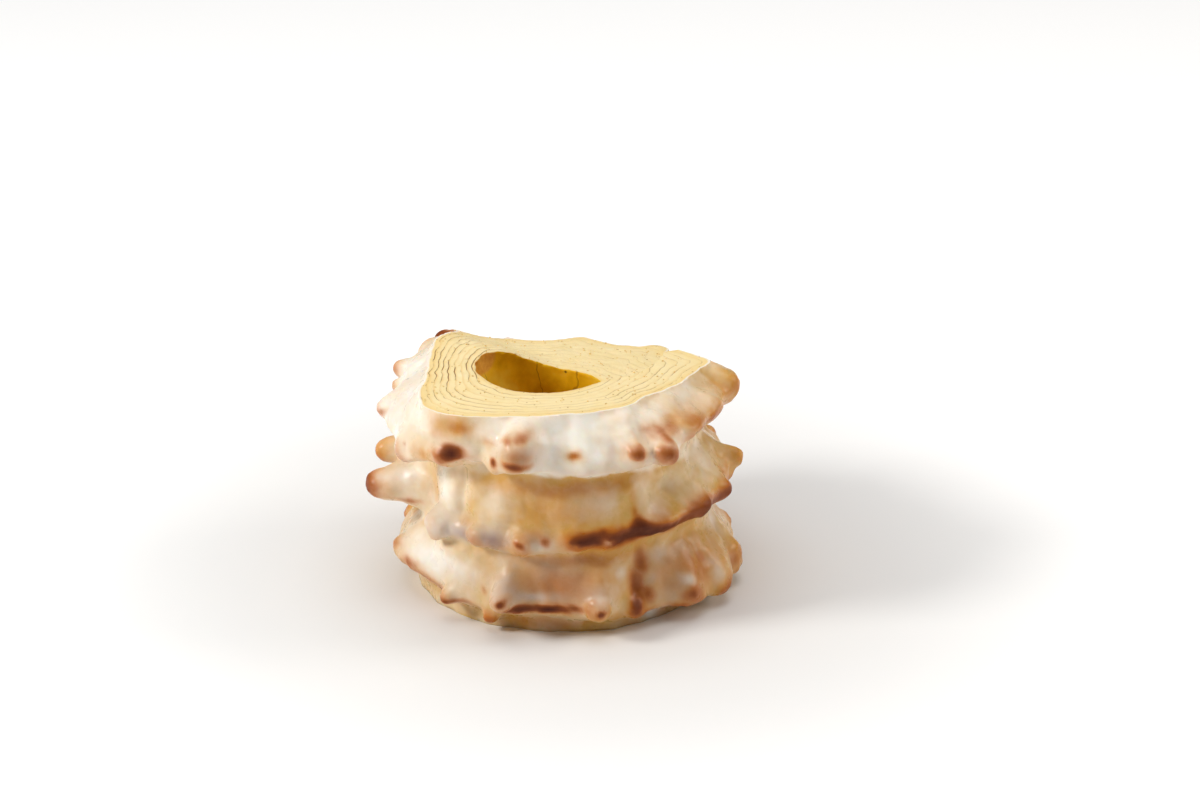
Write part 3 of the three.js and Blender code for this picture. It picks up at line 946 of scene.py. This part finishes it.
def frost_and_shading_at(points):
    """How white the glaze lies: thick on the top tier's shoulder, thin elsewhere, with painted light and
    shade.
    """
    angles = angle_of(points)
    frost = np.zeros(len(points))
    for index, tier in enumerate(TIERS):
        over_foot = smooth_step(points[:, 2] - join_height(index - 1, angles), *FROST_EDGE)
        frost += (TIER_FROST[index] + swelling(tier.frost, angles) - frost) * over_foot
    for spot in FROST_AND_SHADING_SPOTS + GLAZE_DROPS:
        frost += spot.amount * near_spot(spot, points)
    return frost


def haze_at(points):
    """Where the glaze is a thin haze over browned crust."""
    haze = np.max([spot.amount * near_spot(spot, points) for spot in HAZE_SPOTS], axis=0)
    for drop in GLAZE_DROPS:
        haze *= 1 - drop.amount * near_spot(drop, points)
    return haze


# Cuts

def slant_step_angle(radius):
    outwards = (radius - SLANT_STEP_NEAR[1]) / (SLANT_STEP_BEND[1] - SLANT_STEP_NEAR[1])
    share = np.clip(outwards, SLANT_STEP_RUN_IN, 1)
    return SLANT_STEP_NEAR[0] + (SLANT_STEP_BEND[0] - SLANT_STEP_NEAR[0]) * share


def level_cutter(material):
    """What is cut off the top, down to the level cut."""
    reach = cut_reach()
    cells = round(2 * reach / CUT_GRID)
    shares, faces = block_lattice((cells, cells, BLOCK_CELLS_UP))
    points = (shares - (0.5, 0.5, 0)) * (2 * reach, 2 * reach, 2 * OVERCUT) + (0, 0, CAKE_HEIGHT)
    return new_object("level_cut", points, faces, material)


def base_cutter(material):
    """What lies under the flat base."""
    reach = cut_reach()
    shares, faces = block_lattice((BASE_CELLS, BASE_CELLS, BLOCK_CELLS_UP))
    points = (shares - (0.5, 0.5, 1)) * (2 * reach, 2 * reach, 2 * OVERCUT)
    return new_object("base_cut", points, faces, material)


def slant_cutter(material):
    """What the slanting cut takes out of the top: it dips from its start and ends in a step."""
    inner, outer = SLANT_REACH
    middle = (inner + outer) / 2
    turn = math.radians(SLANT_START_ANGLE - SLANT_STEP_NEAR[0])
    across = round(turn * middle * SLANT_LENGTH_SHARE / CUT_GRID)
    shares, faces = block_lattice((across, round((outer - inner) / CUT_GRID), SLANT_CELLS_UP))
    around, along, up = shares.T
    radius = inner + (outer - inner) * along
    angle = SLANT_START_ANGLE + (slant_step_angle(radius) - SLANT_START_ANGLE) * around
    depth = SLANT_DEPTH + SLANT_OUTWARD_FALL * (radius - HOLE_RADIUS)
    floor = CAKE_HEIGHT - depth * smooth_step(around, 0, SLANT_DIP_SHARE)
    height = floor + (CAKE_HEIGHT + OVERCUT - floor) * up
    points = ring_points(HOLE_CENTRE, radius, angle, height)
    return new_object("slant_cut", points, faces, material)


def spit_cutter(material):
    """The spit, with what was torn out of the hole's edge round it."""
    columns = round(2 * math.pi * HOLE_RADIUS / HOLE_GRID)
    angles = np.arange(columns) * 360 / columns
    rings = []
    for height in np.arange(-OVERCUT, CAKE_HEIGHT + OVERCUT, HOLE_GRID):
        torn = swelling(EDGE_TEARS, angles) * smooth_step(height, *TEAR_HEIGHTS)
        rings.append(ring_points(HOLE_CENTRE, HOLE_RADIUS + torn, angles, height))
    return capped_rings("spit", np.array(rings), material)


def cut_reach():
    """Half the width of a block that covers the whole cake."""
    return max(knob.reach for knob in all_knobs()) + OVERCUT


def cuts_tree():
    """Takes the four cutters out of the cake, all but the base roughened like torn crumb."""
    sockets = {label: "Object" for label in ("Level Cut", "Slant Cut", "Spit", "Base Cut")}
    tree, inputs, identifiers = geometry_tree("cuts", sockets)
    rough = []
    for label, lumps in (("Level Cut", CUT_LUMPS), ("Slant Cut", TORN_LUMPS), ("Spit", SPIT_LUMPS)):
        cutter = add(tree, "GeometryNodeObjectInfo", Object=inputs[label])
        rough.append(relief(tree, cutter.outputs["Geometry"], lumps))
    base = add(tree, "GeometryNodeObjectInfo", Object=inputs["Base Cut"])
    cut = add(
        tree, "GeometryNodeMeshBoolean", {"operation": "DIFFERENCE", "solver": "MANIFOLD"},
        Mesh_1=inputs["Geometry"], Mesh_2=[*rough, base.outputs["Geometry"]],
    )
    add(tree, "NodeGroupOutput", _0=cut.outputs["Mesh"])
    return tree, identifiers


def side_skin(mesh):
    """The uncut cake's side, without the ends that the cuts take off, to measure distances to."""
    points = mesh_points(mesh)
    low, high = -OVERCUT / 2, CAKE_HEIGHT + OVERCUT / 2
    corners = [tuple(face.vertices) for face in mesh.polygons]
    kept = [face for face in corners if low < points[face[0], 2] < high]
    return BVHTree.FromPolygons(points.tolist(), kept)


def cut_cake(cake, crumb, spit_wall):
    """Cuts the cake, and keeps its uncut skin to measure how deep a cut point lies."""
    skin = side_skin(cake.data)
    cutters = {
        "Level Cut": level_cutter(crumb),
        "Slant Cut": slant_cutter(crumb),
        "Spit": spit_cutter(spit_wall),
        "Base Cut": base_cutter(crumb),
    }
    tree, identifiers = cuts_tree()
    uncut = cake.data
    cake.data = grow(cake, tree, identifiers, cutters)
    cake.data.name = "glazed_cake"
    for cutter in cutters.values():
        bpy.data.objects.remove(cutter)
    bpy.data.meshes.remove(uncut)
    return skin


def set_cake_looks(cake, skin):
    """Writes browning and glaze, with some painted light and shade in them, and depth below the crust and
    behind the spit wall to the cake's points.
    """
    mesh = cake.data
    points = mesh_points(mesh)
    proud = attribute_values(mesh, "proud") / MM
    strayed = warped(points)
    # Toast takes painted shade from a few spots, and frost takes painted light and shade from two spots and
    # warm painted shade in folds.
    toast = toast_and_shade_at(strayed) + PROUD_TOAST * smooth_step(proud, *PROUD_HEIGHTS)
    frost = frost_and_shading_at(strayed) - THINNED_FROST_AND_FOLD_SHADE * smooth_step(np.abs(proud), *THINNED_HEIGHTS)
    set_attribute(mesh, "toast", np.clip(toast, 0, 1))
    set_attribute(mesh, "frost", np.clip(frost, 0, MOST_FROST))
    set_attribute(mesh, "haze", haze_at(strayed))
    set_attribute(mesh, "baked", LEAST_BAKED + swelling(LAYER_BAKING, angle_of(points)))
    outwards = points - (*HOLE_CENTRE, 0)
    outwards[:, 2] = 0
    from_axis = np.linalg.norm(outwards, axis=1)
    on_axis = points - outwards
    walls = [skin.ray_cast(start, way)[3] for start, way in zip(on_axis.tolist(), outwards.tolist())]
    wall = np.array([reach or 0 for reach in walls]) - HOLE_RADIUS
    set_attribute(mesh, "wall", np.maximum(wall, 1))
    set_attribute(mesh, "from_hole", np.maximum(from_axis - HOLE_RADIUS, 0))
    set_attribute(mesh, "to_crust", [skin.find_nearest(point)[3] for point in points.tolist()])
    mesh.shade_smooth()


# Materials

def new_material(name):
    material = bpy.data.materials.new(name)
    material.use_nodes = True
    tree = material.node_tree
    tree.nodes.clear()
    return material, tree


def glazed_crust():
    """Sugar glaze dried over oven-browned batter. It looks milky and softly glossy where it lies thick, and
    the tan to dark brown crust shows through where it ran off the knobs and rims."""
    material, tree = new_material("sugar_glaze_on_browned_crust")
    place = add(tree, "ShaderNodeTexCoord").outputs["Object"]
    # The toast and frost attributes carry some painted light and shade as well as browning and glaze.
    toast, frost, haze = (
        add(tree, "ShaderNodeAttribute", {"attribute_name": name}).outputs["Fac"]
        for name in ("toast", "frost", "haze")
    )
    patches = add(tree, "ShaderNodeTexNoise", Vector=place, Scale=1 / (24 * MM), Detail=3.0, Roughness=0.6)
    blotches = add(tree, "ShaderNodeTexNoise", Vector=place, Scale=1 / (7 * MM), Detail=3.0, Roughness=0.6)
    uneven = add(
        tree, "ShaderNodeMath", {"operation": "MULTIPLY_ADD"},
        _0=blotches.outputs[0], _1=0.2, _2=-0.1,
    )
    # The toast attribute holds browning and also painted shade from a few spots, so this darkens those as
    # shade.
    browning_and_shade = add(
        tree, "ShaderNodeMath", {"operation": "ADD", "use_clamp": True}, _0=toast, _1=uneven.outputs[0]
    )
    crust = add(tree, "ShaderNodeValToRGB", Fac=browning_and_shade.outputs[0])
    set_ramp(crust, CRUST_COLOURS)
    thin = add(
        tree, "ShaderNodeMapRange", SMOOTH,
        Value=patches.outputs[0], From_Min=0.3, From_Max=0.7, To_Min=-0.18, To_Max=0.18,
    )
    covered = add(tree, "ShaderNodeMath", {"operation": "ADD"}, _0=frost, _1=thin.outputs[0])
    clinging = add(
        tree, "ShaderNodeMapRange", SMOOTH,
        Value=browning_and_shade.outputs[0], From_Min=0.1, From_Max=0.65, To_Min=1.0, To_Max=0.0,
    )
    cover = add(
        tree, "ShaderNodeMath", {"operation": "MULTIPLY", "use_clamp": True},
        _0=covered.outputs[0], _1=clinging.outputs[0],
    )
    film = add(
        tree, "ShaderNodeMix", COLOUR_MIX,
        _0=haze, _6=hex_colour(GLAZE_COLOUR), _7=hex_colour(THIN_GLAZE_COLOUR),
    )
    colour = add(
        tree, "ShaderNodeMix", COLOUR_MIX,
        _0=cover.outputs[0], _6=crust.outputs[0], _7=film.outputs[2],
    )
    ripples = add(tree, "ShaderNodeTexNoise", Vector=place, Scale=1 / (3 * MM), Detail=3.0, Roughness=0.55)
    bump = add(tree, "ShaderNodeBump", Height=ripples.outputs[0], Strength=0.25, Distance=0.5 * MM)
    gloss = add(
        tree, "ShaderNodeMapRange",
        Value=blotches.outputs[0], From_Min=0.3, From_Max=0.7, To_Min=0.22, To_Max=0.4,
    )
    dull = add(
        tree, "ShaderNodeMapRange", SMOOTH,
        Value=browning_and_shade.outputs[0], From_Min=0.45, From_Max=0.85, To_Min=0.0, To_Max=0.3,
    )
    sheen = add(tree, "ShaderNodeMath", {"operation": "ADD"}, _0=gloss.outputs[0], _1=dull.outputs[0])
    shader = add(
        tree, "ShaderNodeBsdfPrincipled",
        Base_Color=colour.outputs[2], Roughness=sheen.outputs[0], Normal=bump.outputs[0],
        IOR=1.46, Specular_IOR_Level=0.3,
        Subsurface_Weight=0.4, Subsurface_Radius=(1.0, 0.55, 0.3), Subsurface_Scale=3 * MM,
    )
    add(tree, "ShaderNodeOutputMaterial", Surface=shader.outputs[0])
    return material


def cut_crumb():
    """Butter sponge, cleanly cut: matt, pale yellow and fine-pored. Each layer turns golden outwards and ends
    in a thin brown line, where it was browned before the next was poured. A white line of glaze edges it."""
    material, tree = new_material("cut_layered_sponge")
    place = add(tree, "ShaderNodeTexCoord").outputs["Object"]
    from_hole, to_crust, wall, baked = (
        add(tree, "ShaderNodeAttribute", {"attribute_name": name}).outputs["Fac"]
        for name in ("from_hole", "to_crust", "wall", "baked")
    )
    outward = add(tree, "ShaderNodeMath", {"operation": "DIVIDE"}, _0=from_hole, _1=wall)
    layers = add(tree, "ShaderNodeMath", {"operation": "MULTIPLY"}, _0=outward.outputs[0], _1=LAYER_COUNT)
    wander = add(tree, "ShaderNodeTexNoise", Vector=place, Scale=1 / (22 * MM), Detail=2.5, Roughness=0.55)
    count = add(
        tree, "ShaderNodeMath", {"operation": "MULTIPLY_ADD"},
        _0=wander.outputs[0], _1=1.8, _2=layers.outputs[0],
    )
    apart = add(tree, "ShaderNodeMath", {"operation": "PINGPONG"}, _0=count.outputs[0], _1=0.5)
    layer = add(tree, "ShaderNodeMath", {"operation": "DIVIDE"}, _0=wall, _1=LAYER_COUNT)
    away = add(tree, "ShaderNodeMath", {"operation": "MULTIPLY"}, _0=apart.outputs[0], _1=layer.outputs[0])
    line = add(
        tree, "ShaderNodeMapRange", SMOOTH,
        Value=away.outputs[0], From_Min=0.1, From_Max=0.38, To_Min=1.0, To_Max=0.0,
    )
    number = add(tree, "ShaderNodeMath", {"operation": "ROUND"}, _0=count.outputs[0])
    own = add(tree, "ShaderNodeTexWhiteNoise", {"noise_dimensions": "1D"}, W=number.outputs[0])
    broken = add(tree, "ShaderNodeTexNoise", Vector=place, Scale=1 / (18 * MM), Detail=4.0, Roughness=0.65)
    uneven = add(
        tree, "ShaderNodeMath", {"operation": "MULTIPLY_ADD"},
        _0=own.outputs[0], _1=0.2, _2=broken.outputs[0],
    )
    strength = add(
        tree, "ShaderNodeMapRange", SMOOTH,
        Value=uneven.outputs[0], From_Min=0.52, From_Max=0.72, To_Min=0.0, To_Max=1.0,
    )
    lines = add(tree, "ShaderNodeMath", {"operation": "MULTIPLY"}, _0=line.outputs[0], _1=strength.outputs[0])
    shown = add(tree, "ShaderNodeMath", {"operation": "MULTIPLY"}, _0=lines.outputs[0], _1=baked)
    patches = add(tree, "ShaderNodeTexNoise", Vector=place, Scale=1 / (12 * MM), Detail=4.0, Roughness=0.65)
    sponge = add(
        tree, "ShaderNodeMix", COLOUR_MIX,
        _0=patches.outputs[0], _6=hex_colour(SPONGE_COLOURS[0]), _7=hex_colour(SPONGE_COLOURS[1]),
    )
    near_crust = add(
        tree, "ShaderNodeMapRange", SMOOTH,
        Value=to_crust, From_Min=1.0, From_Max=9.0, To_Min=0.45, To_Max=0.0,
    )
    near_hole = add(
        tree, "ShaderNodeMapRange", SMOOTH,
        Value=from_hole, From_Min=0.5, From_Max=4.0, To_Min=0.5, To_Max=0.0,
    )
    golden = add(
        tree, "ShaderNodeMath", {"operation": "MAXIMUM"}, _0=near_crust.outputs[0], _1=near_hole.outputs[0]
    )
    phase = add(tree, "ShaderNodeMath", {"operation": "FRACT"}, _0=count.outputs[0])
    turning = add(
        tree, "ShaderNodeMapRange", SMOOTH,
        Value=phase.outputs[0], From_Min=0.5, From_Max=1.0, To_Min=0.0, To_Max=0.5,
    )
    browning = add(tree, "ShaderNodeMath", {"operation": "MULTIPLY"}, _0=turning.outputs[0], _1=baked)
    cells = add(tree, "ShaderNodeTexVoronoi", Vector=place, Scale=1 / (3.6 * MM))
    chosen = add(tree, "ShaderNodeMath", {"operation": "GREATER_THAN"}, _0=cells.outputs["Color"], _1=0.7)
    hollow = add(
        tree, "ShaderNodeMapRange", SMOOTH,
        Value=cells.outputs["Distance"], From_Min=0.07, From_Max=0.2, To_Min=0.75, To_Max=0.0,
    )
    pore = add(tree, "ShaderNodeMath", {"operation": "MULTIPLY"}, _0=hollow.outputs[0], _1=chosen.outputs[0])
    rind = add(
        tree, "ShaderNodeMapRange", SMOOTH,
        Value=to_crust, From_Min=0.3, From_Max=1.3, To_Min=0.9, To_Max=0.0,
    )
    colour = sponge.outputs[2]
    for share, tint in (
        (golden, GOLDEN_SPONGE_COLOUR),
        (browning, BAKED_SPONGE_COLOUR),
        (shown, LAYER_LINE_COLOUR),
        (pore, PORE_COLOUR),
        (rind, GLAZE_COLOUR),
    ):
        tinted = add(
            tree, "ShaderNodeMix", COLOUR_MIX,
            _0=share.outputs[0], _6=colour, _7=hex_colour(tint),
        )
        colour = tinted.outputs[2]
    grain = add(tree, "ShaderNodeTexNoise", Vector=place, Scale=1 / (1.6 * MM), Detail=4.0, Roughness=0.7)
    holes = add(tree, "ShaderNodeMath", {"operation": "MAXIMUM"}, _0=pore.outputs[0], _1=shown.outputs[0])
    crumbly = add(tree, "ShaderNodeMath", {"operation": "SUBTRACT"}, _0=grain.outputs[0], _1=holes.outputs[0])
    bump = add(tree, "ShaderNodeBump", Height=crumbly.outputs[0], Strength=0.5, Distance=0.5 * MM)
    shader = add(
        tree, "ShaderNodeBsdfPrincipled",
        Base_Color=colour, Roughness=0.85, Normal=bump.outputs[0], Specular_IOR_Level=0.25,
        Subsurface_Weight=0.2, Subsurface_Radius=(1.0, 0.7, 0.35), Subsurface_Scale=2 * MM,
    )
    add(tree, "ShaderNodeOutputMaterial", Surface=shader.outputs[0])
    return material


def spit_side():
    """The first layer, baked against the spit: golden and nearly matt, with a few seams along the spit, dark
    specks, and golden brown crumb where its edge was torn."""
    material, tree = new_material("golden_spit_side_sponge")
    place = add(tree, "ShaderNodeTexCoord").outputs["Object"]
    from_hole = add(tree, "ShaderNodeAttribute", {"attribute_name": "from_hole"}).outputs["Fac"]
    patches = add(tree, "ShaderNodeTexNoise", Vector=place, Scale=1 / (16 * MM), Detail=3.0, Roughness=0.55)
    wall = add(tree, "ShaderNodeValToRGB", Fac=patches.outputs[0])
    set_ramp(wall, SPIT_SIDE_COLOURS)
    wobble = add(tree, "ShaderNodeTexNoise", Vector=place, Scale=1 / (10 * MM), Detail=2.0)
    strayed = add(
        tree, "ShaderNodeVectorMath", {"operation": "MULTIPLY_ADD"},
        _0=wobble.outputs["Color"], _1=(8 * MM, 8 * MM, 8 * MM), _2=place,
    )
    drawn = add(tree, "ShaderNodeMapping", Vector=strayed.outputs[0], Scale=(1, 1, 0.4))
    plates = add(
        tree, "ShaderNodeTexVoronoi", {"feature": "DISTANCE_TO_EDGE"},
        Vector=drawn.outputs[0], Scale=1 / (34 * MM),
    )
    seam = add(
        tree, "ShaderNodeMapRange", SMOOTH,
        Value=plates.outputs["Distance"], From_Min=0.003, From_Max=0.014, To_Min=0.45, To_Max=0.0,
    )
    cells = add(tree, "ShaderNodeTexVoronoi", Vector=place, Scale=1 / (8 * MM))
    chosen = add(tree, "ShaderNodeMath", {"operation": "GREATER_THAN"}, _0=cells.outputs["Color"], _1=0.58)
    dot = add(
        tree, "ShaderNodeMapRange", SMOOTH,
        Value=cells.outputs["Distance"], From_Min=0.05, From_Max=0.14, To_Min=0.9, To_Max=0.0,
    )
    speck = add(tree, "ShaderNodeMath", {"operation": "MULTIPLY"}, _0=dot.outputs[0], _1=chosen.outputs[0])
    marks = add(tree, "ShaderNodeMath", {"operation": "MAXIMUM"}, _0=seam.outputs[0], _1=speck.outputs[0])
    marked = add(
        tree, "ShaderNodeMix", COLOUR_MIX,
        _0=marks.outputs[0], _6=wall.outputs[0], _7=hex_colour(SPIT_MARK_COLOUR),
    )
    grain = add(tree, "ShaderNodeTexNoise", Vector=place, Scale=1 / (3 * MM), Detail=4.0, Roughness=0.7)
    torn_colour = add(
        tree, "ShaderNodeMix", COLOUR_MIX,
        _0=grain.outputs[0], _6=hex_colour(TORN_COLOURS[0]), _7=hex_colour(TORN_COLOURS[1]),
    )
    torn = add(
        tree, "ShaderNodeMapRange", SMOOTH,
        Value=from_hole, From_Min=0.5, From_Max=1.4, To_Min=0.0, To_Max=1.0,
    )
    colour = add(
        tree, "ShaderNodeMix", COLOUR_MIX,
        _0=torn.outputs[0], _6=marked.outputs[2], _7=torn_colour.outputs[2],
    )
    height = add(tree, "ShaderNodeMath", {"operation": "SUBTRACT"}, _0=grain.outputs[0], _1=marks.outputs[0])
    bump = add(tree, "ShaderNodeBump", Height=height.outputs[0], Strength=0.4, Distance=0.5 * MM)
    shader = add(
        tree, "ShaderNodeBsdfPrincipled",
        Base_Color=colour.outputs[2], Roughness=0.6, Normal=bump.outputs[0], Specular_IOR_Level=0.1,
        Subsurface_Weight=0.2, Subsurface_Radius=(1.0, 0.6, 0.25), Subsurface_Scale=3 * MM,
    )
    add(tree, "ShaderNodeOutputMaterial", Surface=shader.outputs[0])
    return material


def set_ramp(node, stops):
    """Gives a colour ramp its stops, as places and hex colours."""
    elements = node.color_ramp.elements
    while len(elements) < len(stops):
        elements.new(1)
    for element, (place, colour) in zip(elements, stops):
        element.position = place
        element.color = hex_colour(colour)


# Loose crumbs

def crumbs_tree():
    """Crumbs of torn sponge lying on the upward cut faces."""
    sockets = {"Cut Face": "Material", "Crumb": "Material", "Density": "Float", "Seed": "Int"}
    tree, inputs, identifiers = geometry_tree("loose crumbs", sockets)
    on_cut = add(tree, "GeometryNodeMaterialSelection", Material=inputs["Cut Face"])
    normal = add(tree, "GeometryNodeInputNormal")
    parts = add(tree, "ShaderNodeSeparateXYZ", _0=normal.outputs[0])
    upward = add(
        tree, "FunctionNodeCompare", {"operation": "GREATER_THAN"},
        _0=parts.outputs["Z"], _1=LEVEL_ENOUGH,
    )
    resting = add(
        tree, "FunctionNodeBooleanMath", {"operation": "AND"}, _0=on_cut.outputs[0], _1=upward.outputs[0]
    )
    spots = add(
        tree, "GeometryNodeDistributePointsOnFaces",
        Mesh=inputs["Geometry"], Selection=resting.outputs[0], Density=inputs["Density"], Seed=inputs["Seed"],
    )
    ball = add(tree, "GeometryNodeMeshIcoSphere", Radius=1.0, Subdivisions=1)
    turn = add(
        tree, "FunctionNodeRandomValue", {"data_type": "FLOAT_VECTOR"},
        _0=(0, 0, 0), _1=CRUMB_TURN, Seed=inputs["Seed"],
    )
    size = add(
        tree, "FunctionNodeRandomValue", {"data_type": "FLOAT_VECTOR"},
        _0=tuple(radius * MM for radius in CRUMB_LEAST),
        _1=tuple(radius * MM for radius in CRUMB_MOST),
        Seed=inputs["Seed"],
    )
    scattered = add(
        tree, "GeometryNodeInstanceOnPoints", Points=spots.outputs["Points"], Instance=ball.outputs[0],
        Rotation=turn.outputs[0], Scale=size.outputs[0],
    )
    loose = add(tree, "GeometryNodeRealizeInstances", Geometry=scattered.outputs[0])
    knobbly = relief(tree, loose.outputs[0], CRUMB_LUMPS)
    coloured = add(tree, "GeometryNodeSetMaterial", Geometry=knobbly, Material=inputs["Crumb"])
    add(tree, "NodeGroupOutput", _0=coloured.outputs[0])
    return tree, identifiers


def loose_crumbs(cake, cut_face, crumb):
    tree, identifiers = crumbs_tree()
    mesh = grow(cake, tree, identifiers, {
        "Cut Face": cut_face,
        "Crumb": crumb,
        "Density": CRUMBS_PER_CM2 * CM2_PER_M2,
        "Seed": CRUMB_SEED,
    })
    mesh.name = "loose_crumbs"
    return put_in_scene("loose_crumbs", mesh)


def torn_crumb():
    """A torn flake of the same sponge, drier and a little darker than the cut."""
    material, tree = new_material("torn_sponge_crumb")
    place = add(tree, "ShaderNodeTexCoord").outputs["Object"]
    patches = add(tree, "ShaderNodeTexNoise", Vector=place, Scale=1 / (4 * MM), Detail=2.0)
    colour = add(
        tree, "ShaderNodeMix", COLOUR_MIX,
        _0=patches.outputs[0], _6=hex_colour(CRUMB_COLOURS[0]), _7=hex_colour(CRUMB_COLOURS[1]),
    )
    shader = add(tree, "ShaderNodeBsdfPrincipled", Base_Color=colour.outputs[2], Roughness=0.85)
    add(tree, "ShaderNodeOutputMaterial", Surface=shader.outputs[0])
    return material


# Floor, light and camera

def white_floor():
    """A matt white card that the cake stands on, with a faint glow of its own away from the cake."""
    material, tree = new_material("matt_white_card")
    place = add(tree, "ShaderNodeTexCoord").outputs["Object"]
    away = add(tree, "ShaderNodeVectorMath", {"operation": "LENGTH"}, _0=place)
    glow = add(
        tree, "ShaderNodeMapRange", SMOOTH,
        Value=away.outputs["Value"], From_Min=FLOOR_GLOW_REACH[0], From_Max=FLOOR_GLOW_REACH[1],
        To_Min=0.0, To_Max=FLOOR_GLOW,
    )
    shader = add(
        tree, "ShaderNodeBsdfPrincipled",
        Base_Color=hex_colour(CARD_COLOUR), Roughness=0.9,
        Emission_Color=hex_colour(WHITE), Emission_Strength=glow.outputs[0],
    )
    add(tree, "ShaderNodeOutputMaterial", Surface=shader.outputs[0])
    half = FLOOR_SIZE / 2 / MM
    corners = [(-half, -half, 0), (half, -half, 0), (half, half, 0), (-half, half, 0)]
    floor = new_object("floor", corners, [[0, 1, 2, 3]], material)


def area_light(name, place, size, watts, colour):
    """A round soft light in metres, turned towards the cake's middle."""
    light = bpy.data.lights.new(name, "AREA")
    light.shape = "DISK"
    light.size = size
    light.energy = watts
    light.color = hex_colour(colour)[:3]
    obj = put_in_scene(name, light)
    obj.location = place
    aim = Vector((0, 0, CAKE_HEIGHT / 2 * MM)) - Vector(place)
    obj.rotation_euler = aim.to_track_quat("-Z", "Y").to_euler()


def studio_light():
    world = bpy.data.worlds.new("soft_room")
    world.use_nodes = True
    sky = world.node_tree.nodes["Background"]
    sky.inputs["Color"].default_value = hex_colour(WHITE)
    sky.inputs["Strength"].default_value = ROOM_LIGHT
    bpy.context.scene.world = world
    for light in LIGHTS:
        area_light(*light)
    bpy.context.scene.view_settings.view_transform = "Standard"


def photo_camera():
    """The camera at the photograph's place: low, far away and level."""
    tilt = math.radians(CAMERA_ELEVATION)
    forward = Vector((0, math.cos(tilt), -math.sin(tilt)))
    upward = Vector((0, math.sin(tilt), math.cos(tilt)))
    sideways = Vector((1, 0, 0))
    foot = Vector((*CAKE_AXIS, 0)) * MM
    across = (PHOTO_SIZE[0] / 2 - AXIS_FOOT_PIXEL[0]) * PHOTO_SCALE * MM
    above = (AXIS_FOOT_PIXEL[1] - PHOTO_SIZE[1] / 2) * PHOTO_SCALE * MM
    aim = foot + sideways * across + upward * above
    data = bpy.data.cameras.new("photo_camera")
    data.sensor_width = SENSOR_WIDTH
    data.lens = SENSOR_WIDTH * CAMERA_DISTANCE / (PHOTO_SIZE[0] * PHOTO_SCALE * MM)
    data.dof.use_dof = False
    camera = put_in_scene("photo_camera", data)
    camera.location = aim - forward * CAMERA_DISTANCE
    camera.rotation_euler = forward.to_track_quat("-Z", "Y").to_euler()
    bpy.context.scene.camera = camera


photo_camera()
studio_light()
white_floor()

glaze = glazed_crust()
sponge = cut_crumb()
cake = crust_object(glaze)
cake_skin = cut_cake(cake, sponge, spit_side())
set_cake_looks(cake, cake_skin)
crumbs = loose_crumbs(cake, sponge, torn_crumb())

for piece in (cake, crumbs):
    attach(piece, "root")
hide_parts("cake")
